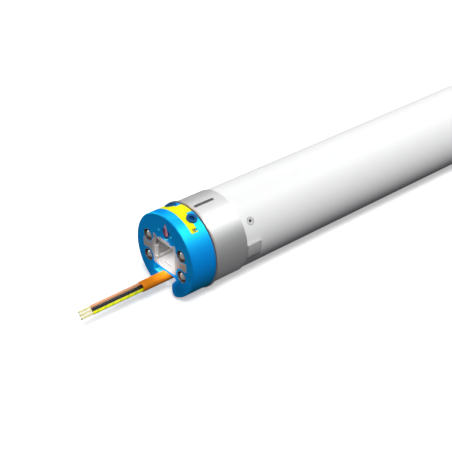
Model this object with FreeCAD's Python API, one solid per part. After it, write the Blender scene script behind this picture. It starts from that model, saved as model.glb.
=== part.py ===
"""Tubular motor for roller shutters: head, crown, limit switch, motor, brake and planetary gear.

Millimetres. +X runs along the tube, away from the head. +Z is up. The origin is the middle of
the head's front face. Angles written as "bearing" are measured from -Y up towards +Z.
"""
import FreeCAD, Part
import math
import os

V = FreeCAD.Vector
X_AXIS = V(1, 0, 0)

# Head housing
head_radius = 30.0
head_length = 19.2
head_edge = 0.5              # small chamfer round the front rim
socket_side = 20.0           # clear width of the square socket
socket_height = 19.0
socket_depth = 16.4
socket_bow = 0.8             # how far the near wall bows outward
plate_wall = 1.7             # wall at each side of the socket
plate_floor = 1.0            # wall under the socket
plate_roof = 1.4
plate_back = 2.0
plate_clearance = 0.12       # gap between the plate and its pocket
land_half = 4.8              # raised land in the middle of the plate's top edge
land_foot = 6.2
land_height = 1.3
horn_foot = 8.0
horn_tip = 10.9
horn_height = 1.9
corner_cut = 2.2             # of the plate's two lower corners
corner_rise = 0.9
ear_reach = 22.6
ear_top = 4.2
ear_bottom = 2.4
ear_root_reach = 15.0
ear_root_top = 7.5
ear_root_bottom = 6.0
ear_thickness = 4.5
ledge_top = -4.9             # ledge along the far wall of the socket
ledge_foot = -7.9
ledge_width = 1.4
ramp_width = 6.0             # from the far wall to the foot of the ramp under the ledge
pillar_radius = 1.4          # half-round rib that stands on the ledge
pillar_x = 1.7
pillar_top = 3.2
catch_top = 5.6              # pocket above the rib
catch_width = 3.2
catch_depth = 1.2
floor_slit_width = 0.7
floor_slit_depth = 0.5
floor_slit_x = 3.7
floor_slit_near = -1.9
floor_slit_far = 6.2

# Screws that hold the head on the limit housing
screw_pitch_y = 35.2
screw_pitch_z = 15.8
upper_boss_radius = 4.9
lower_boss_radius = 5.8
counterbore_radius = 4.3
counterbore_depth = 2.6
screw_head_radius = 3.5
screw_head_height = 2.2
screw_shank_radius = 1.9
screw_hole_radius = 2.05
screw_grip = 2.6             # thread length inside the web
screw_rim = 1.3              # height of the head's straight rim
screw_dome = 0.3             # height of the dome's outer step

# Cable notch at the foot of the head
notch_far = 12.0             # wall on the far side of the notch
notch_top = -12.3
step_top = -17.2             # ledge beside the cable, on the far side
step_foot = -21.5
step_edge = 4.3
notch_depth = 17.0
gland_start = 12.0
hook_top = 19.4              # the hook that closes the notch on the near side
hook_inner = 7.2
hook_shoulder_y = 11.8
hook_shoulder_z = 13.6
hook_root = 9.6
hook_corner = 3.6
hook_steps = 7
margin = 2.0                 # how far a cut reaches past the surface it opens

# Setting button at the top of the face, between three shallow pits
pit_depth = 2.0
pit_radius = 1.15
pit_places = [(5.4, 18.1), (-7.3, 18.1)]
arc_y = -0.9                 # curved pit below the button
arc_z = 18.9
arc_inner = 4.9
arc_outer = 6.1
arc_start = 262.0
arc_end = 312.0
drop_y = -2.4                # drop-shaped head of the button
drop_z = 18.3
drop_radius = 2.1
drop_tip_y = -1.8
drop_tip_z = 24.0
drop_tip_radius = 0.6
drop_gap = 0.15
drop_pocket = 1.5
drop_thickness = 0.9
button_y = -2.2
button_z = 19.4
button_radius = 1.5
button_end = 7.0
button_proud = 0.3
button_travel = 0.8
button_gap = 0.08
collar_start = 4.5
collar_length = 1.6
collar_radius = 2.9
switch_gap = 0.15            # left between the pressed button and its switch
button_switch_depth = 2.2
dome_radius = 1.6
dome_height = 0.5
switch_post_radius = 1.2

# Limit adjusters and their cover
adjuster_x = 14.7
adjuster_spread = 21.6       # angle from the top to each adjuster
adjuster_radius = 3.7
adjuster_gap = 0.08
adjuster_proud = 0.7         # how far the adjusters stand out of the head
adjuster_seat = 25.6         # radius where the adjusters' heads end
adjuster_stem_radius = 2.2
hex_key = 3.6
hex_depth = 2.0
cover_front = 7.9
cover_half_angle = 40.5
cover_thickness = 1.2
cover_gap = 0.1
cover_tail_rear = 13.2
cover_shoulder_rear = 14.4   # between the middle and each adjuster
cover_middle_angle = 10.5    # half angle of the full-width middle
window_side = 2.4
window_depth = 0.8
window_x = 11.0
window_angle = 37.0
notch_side = 1.4             # small notch between the window and the tail's rear edge

# Crown and the washer that keeps it
washer_radius = 30.9
washer_gap = 0.6
washer_thickness = 1.1
crown_radius = 29.75
crown_end = 46.75
journal_radius = 25.5
journal_clearance = 0.05
crown_side_gap = 0.3
crown_gear_teeth = 54
crown_gear_width = 9.4
limit_module = 1.0
slot_start = 23.1
slot_end = 39.7
slot_width = 2.6
slot_depth = 1.1
slot_bearing = 84.5
key_length = 12.1
key_angle = 19.0
key_bearing = -4.5
key_height = 1.4             # above the steel tube
key_gap = 0.3

# Limit switch unit
web_thickness = 3.5
housing_bore = 22.5
housing_end = 89.6
end_plate_thickness = 3.0
spindle_centre = 18.0
spindle_radius = 2.0
spindle_journal = 1.5
spindle_clearance = 0.05
journal_length = 2.5
seat_gap = 0.02             # round a part that is pressed in
rear_bore = 25.0
step_wall = 3.0
wire_hole = 8.0
pinion_teeth = 18
pinion_start = 24.4
pinion_width = 5.4
window_gap = 0.3
nut_middle = 47.5
nut_length = 5.0
nut_travel = 12.0
nut_radius = 4.2
dog_radius = 2.2
nut_boss = 2.1
guide_y = 14.5
guide_z = 12.5
guide_radius = 1.25
guide_boss = 2.8
rack_module = 0.6
rack_pinion_teeth = 10
rack_pinion_width = 3.0
rack_travel_angle = 90.0
rack_floor = 17.0            # radius of the rack bar's inner face
rack_height = 3.0
rack_thickness = 2.5
rack_gap = 0.3
rack_addendum = 0.9          # of the rack's pinion, in modules
rack_tooth_height = 0.75     # of the rack above its pitch line, in modules
rack_end = 0.5
slide_height = 1.8           # of the carriage above the rack's inner face
switch_inset = 1.0           # how far the switch reaches under the rack bar
carriage_gap = 0.3           # between the nut's last place and the switch
carriage_length = 8.0
switch_length = 12.8
switch_height = 6.5
switch_width = 5.8
slide_floor = 14.5           # radius of the carriage's inner face
plunger_length = 1.0
plunger_radius = 0.9
terminal_length = 13.0
terminal_side = 10.0

# Steel tube
tube_radius = 29.0
tube_wall = 1.4
tube_start = 47.1
rivet_x = 54.0
rivet_bearing = 34.3
rivet_count = 3
rivet_radius = 2.6
rivet_shank = 1.5
rivet_socket = 1.25
rivet_socket_depth = 0.9
rivet_gap = 0.06

# Capacitor
capacitor_start = 101.0
capacitor_length = 75.0
capacitor_radius = 17.5
capacitor_wall = 1.6
capacitor_boss = 8.0
capacitor_boss_height = 2.0
tab_length = 6.0
tab_width = 6.2
tab_thickness = 0.8
capacitor_ribs = 4
rib_thickness = 2.4
holder_inset = 5.0           # bare length of the can at each end of its holder

# Motor
motor_start = 188.0
shield_thickness = 7.0
shield_wall = 1.7
hub_wall = 3.0
hub_extra = 3.0              # how far a shield's hub reaches past its plate
stack_length = 130.0
stator_bore = 15.2
stator_slots = 12
slot_mouth = 3.0
slot_shoulder = 16.8
stator_slot_width = 5.0
stator_slot_bottom = 23.5
winding_overhang = 8.0
winding_gap = 0.3
shield_gap = 1.2
air_gap = 0.4
shaft_radius = 4.5
shaft_overhang = 2.0
rotor_ring = 4.0             # length of the cage's end rings
rotor_ring_inset = 1.0       # from the rotor's outside to its end rings
rotor_ring_wall = 6.3
bush_radius = 8.0
bush_clearance = 0.03
inner_fit = 0.1              # gap from the inner parts to the steel tube

# Brake
brake_disc_radius = 17.0
brake_disc_thickness = 3.0
brake_gap = 0.1
armature_thickness = 3.0
armature_travel = 0.4
yoke_length = 16.0
coil_inner = 10.4
coil_outer = 17.0
coil_length = 11.0
brake_spring_inner = 6.6
brake_spring_outer = 8.3
spring_pocket = 8.0
brake_pin_radius = 1.5
brake_pin_circle = 23.3
brake_pin_count = 3
armature_radius = 25.5
shaft_room = 0.7             # between the shaft and parts that it passes through

# Planetary gear
gear_module = 1.35
sun_teeth = 9
planet_teeth = 12
ring_teeth = sun_teeth + 2 * planet_teeth
planet_count = 3
stage_widths = [13.0, 17.0, 21.0]
stage_gap = 0.5
carrier_thickness = 4.0
carrier_radius = 20.0
planet_pin_radius = 2.6
planet_clearance = 0.05
pressure_angle = 20.0
backlash = 0.16
addendum = 0.95              # tooth height outside the pitch circle, in modules
dedendum = 1.2
gear_plate_thickness = 4.0
output_radius = 9.0
output_clearance = 0.05
output_square = 12.0
output_square_length = 26.0
end_cap_flange = 3.0
end_cap_length = 28.0
end_cap_bearing = 22.0
end_screw_inset = 10.0
output_bush_radius = 12.0
circlip_width = 1.2
circlip_depth = 1.0
circlip_rim = 1.6
circlip_opening = 3.0
neck_gap = 0.3               # round the output shaft in the end cap's outer wall
end_screw_wall = 2.0

# Cable
cable_z = -16.1
cable_radius = 3.7
jacket_front = -20.2
jacket_back = 30.0
core_radius = 1.05
core_pitch = 2.15
core_row_angle = 130.0       # bearing of the row of cores, from the striped core to the brown one
core_front = -59.2
bare_front = -68.0
bare_radius = 0.75
gland_radius = 5.6
gland_gap = 0.05
gland_lip = 0.6              # how far the open front part of the gland stays below the channel's top

# Places worked out from the sizes above
sides = ["near", "far"]
plate_half = socket_side / 2 + plate_wall
plate_length = socket_depth + plate_back
washer_start = head_length + washer_gap
washer_end = washer_start + washer_thickness
crown_start = washer_end + crown_side_gap
web_start = head_length
web_end = web_start + web_thickness
journal_end = crown_end + crown_side_gap
tube_bore = tube_radius - tube_wall
inner_radius = tube_bore - inner_fit
pinion_tip_radius = limit_module * (pinion_teeth / 2 + addendum)
rack_pitch_radius = rack_module * rack_pinion_teeth / 2
rack_travel = math.radians(rack_travel_angle) * rack_pitch_radius
carriage_start = nut_middle + nut_length / 2 + nut_travel + carriage_gap + plunger_length + rack_travel
stack_start = motor_start + shield_thickness + winding_overhang + shield_gap
stack_end = stack_start + stack_length
rear_shield_start = stack_end + winding_overhang + shield_gap
brake_start = rear_shield_start + shield_thickness + 2.0
armature_start = brake_start + brake_disc_thickness + brake_gap
yoke_start = armature_start + armature_thickness + armature_travel + brake_gap
gear_start = yoke_start + yoke_length + 4.0
planet_distance = gear_module * (sun_teeth + planet_teeth) / 2


def stage_starts():
    """Front end of each stage's planets, counted from the gearbox's input plate."""
    starts = []
    x = gear_start + gear_plate_thickness + stage_gap
    for width in stage_widths:
        starts.append(x)
        x = x + width + 2 * stage_gap + carrier_thickness
    return starts


gear_end = stage_starts()[-1] + stage_widths[-1] + stage_gap + carrier_thickness + stage_gap
tube_end = gear_end + end_cap_length
end_cap_end = tube_end + end_cap_flange
end_screw_x = tube_end - end_screw_inset


def at_bearing(radius, bearing):
    """Y and Z of a point at a radius and a bearing."""
    turn = math.radians(bearing)
    return -radius * math.cos(turn), radius * math.sin(turn)


def rod(radius, x0, x1, y=0.0, z=0.0):
    """Cylinder along X."""
    return Part.makeCylinder(radius, x1 - x0, V(x0, y, z), X_AXIS)


def tube(outer, inner, x0, x1, y=0.0, z=0.0):
    """Hollow cylinder along X."""
    return rod(outer, x0, x1, y, z).cut(rod(inner, x0, x1, y, z))


def block(x0, x1, y0, y1, z0, z1):
    """Box between two corners."""
    return Part.makeBox(x1 - x0, y1 - y0, z1 - z0, V(x0, y0, z0))


def prism(points, x0, x1):
    """Closed outline of (y, z) points, drawn out along X."""
    wire = Part.makePolygon([V(x0, y, z) for y, z in points + points[:1]])
    return Part.Face(wire).extrude(V(x1 - x0, 0, 0))


def revolve(points):
    """Outline of (x, radius) points, turned about the X axis."""
    wire = Part.makePolygon([V(x, 0, r) for x, r in points + points[:1]])
    return Part.Face(wire).revolve(V(0, 0, 0), X_AXIS, 360)


def turned(shape, angle):
    """Copy turned about the X axis by an angle in degrees."""
    copy = shape.copy()
    copy.rotate(V(0, 0, 0), X_AXIS, angle)
    return copy


def to_bearing(shape, bearing):
    """Copy of a shape built along +Z, turned so that +Z points along a bearing."""
    return turned(shape, 90 - bearing)


def join(shapes):
    """One solid from shapes that overlap or touch on a face."""
    first = shapes[0]
    return first.fuse(shapes[1:]).removeSplitter()


def mirrored(shape):
    """Copy on the other side of the vertical plane through the axis."""
    return shape.mirror(V(0, 0, 0), V(0, 1, 0))


def sector(outer, inner, x0, x1, bearing0, bearing1):
    """Part of a hollow cylinder between two bearings."""
    section = Part.makePolygon([V(x0, 0, inner), V(x1, 0, inner), V(x1, 0, outer), V(x0, 0, outer),
                                V(x0, 0, inner)])
    full = Part.Face(section).revolve(V(0, 0, 0), X_AXIS, bearing1 - bearing0)
    return turned(full, 90 - bearing1)


# Gears


def involute(angle):
    """Involute function of an angle in radians."""
    return math.tan(angle) - angle


def gear_outline(teeth, module, above, below, thickness, phase):
    """Outline of an external gear with three points on each involute flank.

    above and below are the tooth's heights outside and inside the pitch circle, thickness is its
    arc there, and phase is the angle of one tooth's middle, measured from +Y towards +Z.
    """
    pitch = module * teeth / 2
    base = pitch * math.cos(math.radians(pressure_angle))
    radii = [pitch - below, pitch, pitch + above]

    def half_angle(radius):
        slope = math.acos(min(1.0, base / radius))
        return thickness / (2 * pitch) + involute(math.radians(pressure_angle)) - involute(slope)

    points = []
    for tooth in range(teeth):
        middle = math.radians(phase) + 2 * math.pi * tooth / teeth
        for radius in radii:
            angle = middle - half_angle(radius)
            points.append((radius * math.cos(angle), radius * math.sin(angle)))
        for radius in reversed(radii):
            angle = middle + half_angle(radius)
            points.append((radius * math.cos(angle), radius * math.sin(angle)))
    return points


def external_gear(teeth, module, phase, x0, x1):
    """Gear with teeth on the outside, thinned for backlash."""
    thickness = math.pi * module / 2 - backlash
    outline = gear_outline(teeth, module, addendum * module, dedendum * module, thickness, phase)
    return prism(outline, x0, x1)


def internal_cutter(teeth, module, phase, x0, x1):
    """Shape of the space inside a ring gear. phase is the middle of one of the ring's teeth."""
    thickness = math.pi * module / 2
    outline = gear_outline(teeth, module, dedendum * module, addendum * module, thickness,
                           phase + 180 / teeth)
    return prism(outline, x0, x1)


def phase_in_ring(ring, teeth, direction):
    """Phase of a gear that meshes inside a ring with a tooth at +Y, seen in a direction."""
    pitch = 360.0 / ring
    offset = (-direction) % pitch
    return direction + offset * ring / teeth + 180.0 / teeth


# Head


def screw_places():
    """Y and Z of the four head screws."""
    half_y = screw_pitch_y / 2
    half_z = screw_pitch_z / 2
    return [(y, z) for y in (-half_y, half_y) for z in (-half_z, half_z)]


def plate_outline(grow, x0, x1):
    """Outline of the plate's middle: cut corners below, a land and two horns on top."""
    top = socket_height / 2 + plate_roof
    bottom = -socket_height / 2 - plate_floor
    right = [(-plate_half, bottom + corner_rise), (-plate_half, top + horn_height - corner_rise),
             (-horn_tip, top + horn_height), (-horn_foot, top), (-land_foot, top),
             (-land_half, top + land_height)]
    left = [(-y, z) for y, z in reversed(right)]
    points = [(corner_cut - plate_half, bottom)] + right + left + [(plate_half - corner_cut, bottom)]
    wire = Part.makePolygon([V(x0, y, z) for y, z in points + points[:1]])
    if grow:
        wire = wire.makeOffset2D(grow, 2)
    return Part.Face(wire).extrude(V(x1 - x0, 0, 0))


def plate_flange(grow, x0, x1):
    """Outline of the whole plate, with ears that are scalloped round the screw bosses."""
    ears = block(x0, x1, -ear_reach - grow, ear_reach + grow, -ear_bottom - grow, ear_top + grow)
    roots = block(x0, x1, -ear_root_reach - grow, ear_root_reach + grow, -ear_root_bottom - grow,
                  ear_root_top + grow)
    outline = join([ears, roots])
    for y, z in screw_places():
        radius = upper_boss_radius if z > 0 else lower_boss_radius
        outline = outline.cut(rod(radius - grow, x0, x1, y, z))
    return join([outline, plate_outline(grow, x0, x1)])


def plate_sleeve(grow, x0, x1):
    """Box behind the flange, round the socket."""
    return block(x0, x1, -plate_half - grow, plate_half + grow,
                 -socket_height / 2 - plate_floor - grow, socket_height / 2 + plate_roof + grow)


def head_plate():
    """Die-cast plate with the socket that the wall bracket's square pin enters."""
    half = socket_side / 2
    low = -socket_height / 2
    trimmed = plate_sleeve(0, 0, plate_length).common(plate_outline(0, 0, plate_length))
    plate = join([plate_flange(0, 0, ear_thickness), trimmed])
    opening = block(0, socket_depth, -half, half, low, -low)
    bow_radius = ((half - 2 * socket_bow) ** 2 + socket_bow ** 2) / (2 * socket_bow)
    bow = rod(bow_radius, 0, socket_depth, bow_radius - half - socket_bow, 0)
    bow = bow.common(block(0, socket_depth, -half - socket_bow, 0, low, -low))
    plate = plate.cut(join([opening, bow]))
    ledge = prism([(half, low), (half - ramp_width, low), (half - ledge_width, ledge_foot),
                   (half - ledge_width, ledge_top), (half, ledge_top)], 0, socket_depth)
    pillar = Part.makeCylinder(pillar_radius, pillar_top - ledge_top, V(pillar_x, half, ledge_top))
    pillar = pillar.common(block(0, socket_depth, 0, half, ledge_top, half))
    catch = block(pillar_x - catch_width / 2, pillar_x + catch_width / 2, half, half + catch_depth,
                  pillar_top, catch_top)
    slit = block(floor_slit_x, floor_slit_x + floor_slit_width, floor_slit_near, floor_slit_far,
                 low - floor_slit_depth, low + margin)
    return join([plate, ledge, pillar]).cut(catch).cut(slit)


def hook_tip():
    """Points of the hook's rounded tip, from its inner wall to the head's rim."""
    y = -hook_inner - hook_corner
    centre_radius = head_radius + seat_gap - hook_corner
    z = -math.sqrt(centre_radius ** 2 - y ** 2)
    end = math.degrees(math.atan2(z, y)) + 360
    points = []
    for i in range(hook_steps + 1):
        angle = math.radians(360 - (360 - end) * i / hook_steps)
        points.append((y + hook_corner * math.cos(angle), z + hook_corner * math.sin(angle)))
    return points


def notch_space(x0, x1):
    """Open notch round the cable, between a ledge on the far side and the near hook."""
    depth = head_radius + margin
    tip = hook_tip()
    points = [(notch_far, notch_top), (notch_far, step_top), (step_edge, step_top),
              (step_edge, step_foot), (notch_far, step_foot), (notch_far, -depth),
              (tip[-1][0], -depth)]
    points = points + list(reversed(tip))
    points = points + [(-hook_inner, -hook_top), (-hook_shoulder_y, -hook_shoulder_z),
                       (-hook_root, notch_top)]
    return prism(points, x0, x1)


def on_side(shape, side):
    """Shape built for an adjuster at +Z, placed at the near or the far adjuster."""
    placed = to_bearing(shape, 90 - adjuster_spread)
    if side == "near":
        return placed
    return mirrored(placed)


def rack_back():
    """Y of the rack bar's back, for an adjuster at +Z. Its teeth face the adjuster."""
    return -rack_pitch_radius - rack_module - rack_thickness


def rack_channel(x0, x1):
    """Space of one rack bar, built for an adjuster at +Z."""
    return block(x0, x1, rack_back() - rack_gap, -rack_pitch_radius + rack_module + rack_gap,
                 rack_floor - rack_gap, rack_floor + rack_height + rack_gap)


def cover_shape(grow, inner, outer):
    """Cover's plan on the cylinder: a full-width middle, shoulders and two narrower tails."""
    front = cover_front - grow
    turn = math.degrees(grow / head_radius)

    def band(half_angle, rear):
        return sector(outer, inner, front, rear, 90 - half_angle - turn, 90 + half_angle + turn)

    return join([band(cover_middle_angle, head_length),
                 band(adjuster_spread - turn, cover_shoulder_rear + grow),
                 band(cover_half_angle, cover_tail_rear + grow)])


def limit_cover():
    """Yellow cover let into the head round the two adjusters."""
    inner = head_radius - cover_thickness
    cover = cover_shape(0, inner, head_radius)
    for side in sides:
        cover = cover.cut(on_side(adjuster_space(), side))
    half = window_side / 2
    window = block(window_x - half, window_x + half, -half, half, head_radius - window_depth,
                   head_radius + margin)
    notch = block(window_x + half, cover_tail_rear, -notch_side / 2, notch_side / 2, inner - margin,
                  head_radius + margin)
    for angle in (-window_angle, window_angle):
        cover = cover.cut(to_bearing(window, 90 + angle)).cut(to_bearing(notch, 90 + angle))
    return cover


def head_housing():
    """Moulded head: pockets for the plate, the notch, screws, adjusters, button and cover."""
    body = revolve([(0, 0), (0, head_radius - head_edge), (head_edge, head_radius),
                    (head_length, head_radius), (head_length, 0)])
    body = body.cut(plate_flange(plate_clearance, 0, ear_thickness))
    body = body.cut(plate_sleeve(plate_clearance, 0, head_length))
    body = body.cut(notch_space(0, notch_depth))
    for y, z in screw_places():
        body = body.cut(rod(counterbore_radius, 0, counterbore_depth, y, z))
        body = body.cut(rod(screw_hole_radius, 0, head_length, y, z))
    seat_inner = head_radius - cover_thickness
    body = body.cut(cover_shape(cover_gap, seat_inner, head_radius + margin))
    for side in sides:
        body = body.cut(on_side(adjuster_space(), side))
        channel_start = adjuster_x - rack_half_length() - rack_travel - rack_gap
        body = body.cut(on_side(rack_channel(channel_start, head_length), side))
    for y, z in pit_places:
        body = body.cut(rod(pit_radius, 0, pit_depth, y, z))
    body = body.cut(arc_pit())
    body = body.cut(drop(drop_gap, 0, drop_pocket))
    body = body.cut(rod(button_radius + button_gap, 0, collar_start, button_y, button_z))
    body = body.cut(rod(collar_radius + button_gap, collar_start, head_length, button_y, button_z))
    return body.cut(rod(gland_radius + gland_gap, gland_start, head_length, 0, cable_z))


def arc_pit():
    """Curved pit below the button."""
    pit = sector(arc_outer, arc_inner, 0, pit_depth, arc_start, arc_end)
    pit.translate(V(0, arc_y, arc_z))
    return pit


def drop(grow, x0, x1):
    """Drop shape of the button's head, round below and narrow on top."""
    dy = drop_tip_y - drop_y
    dz = drop_tip_z - drop_z
    length = math.hypot(dy, dz)
    ny = dz / length
    nz = -dy / length
    low = drop_radius + grow
    high = drop_tip_radius + grow
    sides_of_drop = prism([(drop_y + ny * low, drop_z + nz * low),
                           (drop_tip_y + ny * high, drop_tip_z + nz * high),
                           (drop_tip_y - ny * high, drop_tip_z - nz * high),
                           (drop_y - ny * low, drop_z - nz * low)], x0, x1)
    return join([rod(low, x0, x1, drop_y, drop_z), rod(high, x0, x1, drop_tip_y, drop_tip_z),
                 sides_of_drop])


def head_screws():
    """Four pan-head screws through the head into the limit housing."""
    screws = []
    top = counterbore_depth - screw_head_height
    for y, z in screw_places():
        dome = revolve([(counterbore_depth, 0), (counterbore_depth, screw_head_radius),
                        (counterbore_depth - screw_rim, screw_head_radius),
                        (top + screw_dome, screw_head_radius * 0.72),
                        (top, screw_head_radius * 0.35), (top, 0)])
        shank = rod(screw_shank_radius, counterbore_depth, web_start + screw_grip)
        screw = join([dome, shank])
        screw.translate(V(0, y, z))
        screws.append(screw)
    return Part.makeCompound(screws)


def setting_button():
    """Button with a drop-shaped head, and a collar that keeps it in the housing."""
    head = drop(0, -button_proud, drop_thickness - button_proud)
    stem = rod(button_radius, -button_proud, button_end, button_y, button_z)
    collar = rod(collar_radius, collar_start + button_gap, collar_start + collar_length, button_y,
                 button_z)
    return join([head, stem, collar])


def setting_switch():
    """Push switch behind the button, on a post that stands on the limit housing's web."""
    front = button_end + button_travel + switch_gap
    dome = rod(dome_radius, front, front + dome_height, button_y, button_z)
    case_end = front + dome_height + button_switch_depth
    case = rod(collar_radius, front + dome_height, case_end, button_y, button_z)
    post = rod(switch_post_radius, case_end, web_start, button_y, button_z)
    return join([dome, case, post])


# Limit adjusters


def rack_half_length():
    """Half length of the rack's toothed stretch."""
    return rack_travel + rack_module * math.pi + rack_end


def adjuster_space():
    """Bore of one adjuster in the head, built at +Z."""
    z_axis = V(0, 0, 1)
    head = Part.makeCylinder(adjuster_radius + adjuster_gap, head_radius, V(adjuster_x, 0, adjuster_seat),
                             z_axis)
    stem = Part.makeCylinder(adjuster_stem_radius + adjuster_gap, head_radius,
                             V(adjuster_x, 0, rack_floor), z_axis)
    pinion = Part.makeCylinder(rack_pitch_radius + rack_module + rack_gap, rack_height + 2 * rack_gap,
                               V(adjuster_x, 0, rack_floor - rack_gap), z_axis)
    return join([head, stem, pinion])


def adjuster():
    """Adjuster with a hexagon socket outside and the rack's pinion inside, built at +Z."""
    z_axis = V(0, 0, 1)
    top = head_radius + adjuster_proud
    foot = adjuster_seat + adjuster_gap
    head = Part.makeCylinder(adjuster_radius, top - foot, V(adjuster_x, 0, foot), z_axis)
    stem = Part.makeCylinder(adjuster_stem_radius, foot - rack_floor, V(adjuster_x, 0, rack_floor), z_axis)
    thickness = math.pi * rack_module / 2 - backlash / 2
    outline = gear_outline(rack_pinion_teeth, rack_module, rack_addendum * rack_module,
                           dedendum * rack_module, thickness, 90.0 + 180.0 / rack_pinion_teeth)
    wire = Part.makePolygon([V(adjuster_x + y, z, rack_floor) for y, z in outline + outline[:1]])
    pinion = Part.Face(wire).extrude(V(0, 0, rack_pinion_width))
    corner = hex_key / math.sqrt(3)
    key = [V(adjuster_x + corner * math.cos(math.radians(60 * i)), corner * math.sin(math.radians(60 * i)),
             top - hex_depth) for i in range(6)]
    socket = Part.Face(Part.makePolygon(key + key[:1])).extrude(V(0, 0, hex_depth))
    return join([head, stem, pinion]).cut(socket)


def rack_carriage():
    """Rack bar with the block that carries one microswitch, built for an adjuster at +Z."""
    pitch = math.pi * rack_module
    half = rack_half_length()
    line = -rack_pitch_radius
    low = rack_floor
    high = rack_floor + rack_height
    root = line - rack_module
    tip = line + rack_tooth_height * rack_module
    bar = block(adjuster_x - half, carriage_start + carriage_length, rack_back(), root, low, high)
    teeth = []
    slope = math.tan(math.radians(pressure_angle))
    count = int(half / pitch)
    for i in range(-count, count + 1):
        middle = adjuster_x + i * pitch
        wide = pitch / 4 - backlash / 4 + slope * rack_module
        thin = pitch / 4 - backlash / 4 - slope * rack_module * rack_tooth_height
        tooth = [V(middle - wide, root, low), V(middle + wide, root, low),
                 V(middle + thin, tip, low), V(middle - thin, tip, low), V(middle - wide, root, low)]
        teeth.append(Part.Face(Part.makePolygon(tooth)).extrude(V(0, 0, rack_height)))
    guide_offset, guide_height = in_adjuster_frame(-guide_y, guide_z)
    slide = block(carriage_start, carriage_start + carriage_length, guide_offset - guide_boss, root,
                  slide_floor, rack_floor + slide_height)
    hole = rod(guide_radius + spindle_clearance, carriage_start, carriage_start + carriage_length,
               guide_offset, guide_height)
    return join([bar, slide] + teeth).cut(hole)


def rack_switch_place():
    """Middle of the plunger in the frame of an adjuster at +Z."""
    return rack_back() - switch_width / 2 + switch_inset, slide_floor - switch_height / 2


def limit_switch():
    """Microswitch under the carriage, built for an adjuster at +Z."""
    y, z = rack_switch_place()
    half = switch_width / 2
    case = block(carriage_start, carriage_start + switch_length, y - half, y + half,
                 slide_floor - switch_height, slide_floor)
    plunger = rod(plunger_radius, carriage_start - plunger_length, carriage_start, y, z)
    return join([case, plunger])


# Limit switch unit


def in_adjuster_frame(y, z):
    """A point near the near adjuster, in the frame where that adjuster stands at +Z."""
    turn = math.radians(adjuster_spread)
    return y * math.cos(turn) + z * math.sin(turn), z * math.cos(turn) - y * math.sin(turn)


def from_adjuster_frame(y, z):
    """The inverse of in_adjuster_frame."""
    turn = math.radians(adjuster_spread)
    return y * math.cos(turn) - z * math.sin(turn), y * math.sin(turn) + z * math.cos(turn)


def strip(start, end, half_width, x0, x1):
    """Flat bar along X's cross plane between two (y, z) centres."""
    dy = end[0] - start[0]
    dz = end[1] - start[1]
    length = math.hypot(dy, dz)
    ny = -dz / length * half_width
    nz = dy / length * half_width
    corners = [(start[0] + ny, start[1] + nz), (end[0] + ny, end[1] + nz),
               (end[0] - ny, end[1] - nz), (start[0] - ny, start[1] - nz)]
    return prism(corners, x0, x1)


def limit_housing():
    """Web, crown journal and sleeve that carry the limit switch unit inside the tube."""
    body = revolve([(web_start, 0), (web_start, journal_radius), (journal_end, journal_radius),
                    (journal_end, inner_radius), (housing_end, inner_radius),
                    (housing_end, rear_bore), (journal_end + step_wall, rear_bore),
                    (journal_end + step_wall, housing_bore), (web_end, housing_bore), (web_end, 0)])
    for y, z in screw_places():
        body = body.cut(rod(screw_shank_radius + seat_gap, web_start, web_end, y, z))
    for y in (-1, 1):
        window = pinion_tip_radius + window_gap
        body = body.cut(rod(window, pinion_start - window_gap, pinion_start + pinion_width + window_gap,
                            y * spindle_centre, 0))
        body = body.cut(rod(spindle_journal + spindle_clearance, web_end - journal_length, web_end,
                            y * spindle_centre, 0))
        body = body.cut(rod(guide_radius + seat_gap, web_end - journal_length, web_end,
                            y * guide_y, guide_z))
    for side in sides:
        body = body.cut(on_side(rack_channel(web_start, web_end), side))
    body = body.cut(rod(cable_radius + gland_gap, web_start, web_end, 0, cable_z))
    for i in range(rivet_count):
        hole = Part.makeCylinder(rivet_shank + rivet_gap, tube_radius, V(rivet_x, 0, 0), V(0, 0, 1))
        body = body.cut(to_bearing(hole, rivet_bearing + 360 * i / rivet_count))
    return body


def end_plate():
    """Plate that closes the limit housing and holds the far ends of spindles and guides."""
    x0 = housing_end - end_plate_thickness
    plate = tube(rear_bore - seat_gap, wire_hole, x0, housing_end)
    for y in (-1, 1):
        plate = plate.cut(rod(spindle_journal + spindle_clearance, x0, x0 + journal_length,
                              y * spindle_centre, 0))
        plate = plate.cut(rod(guide_radius + seat_gap, x0, x0 + journal_length, y * guide_y, guide_z))
    return plate


def limit_spindle(side):
    """Threaded spindle with the pinion that the crown drives."""
    y = -spindle_centre if side == "near" else spindle_centre
    direction = 180 if side == "near" else 0
    x_front = web_end + window_gap
    x_rear = housing_end - end_plate_thickness - window_gap
    core = rod(spindle_radius, x_front, x_rear, y, 0)
    journals = rod(spindle_journal, web_end - journal_length + window_gap,
                   housing_end - end_plate_thickness + journal_length - window_gap, y, 0)
    phase = phase_in_ring(crown_gear_teeth, pinion_teeth, direction)
    pinion = external_gear(pinion_teeth, limit_module, phase, pinion_start, pinion_start + pinion_width)
    pinion.translate(V(0, y, 0))
    return join([core, journals, pinion])


def guide_rod():
    """Rod that keeps the near nut and carriage from turning."""
    return rod(guide_radius, web_end - journal_length + seat_gap,
               housing_end - end_plate_thickness + journal_length - seat_gap, -guide_y, guide_z)


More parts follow.
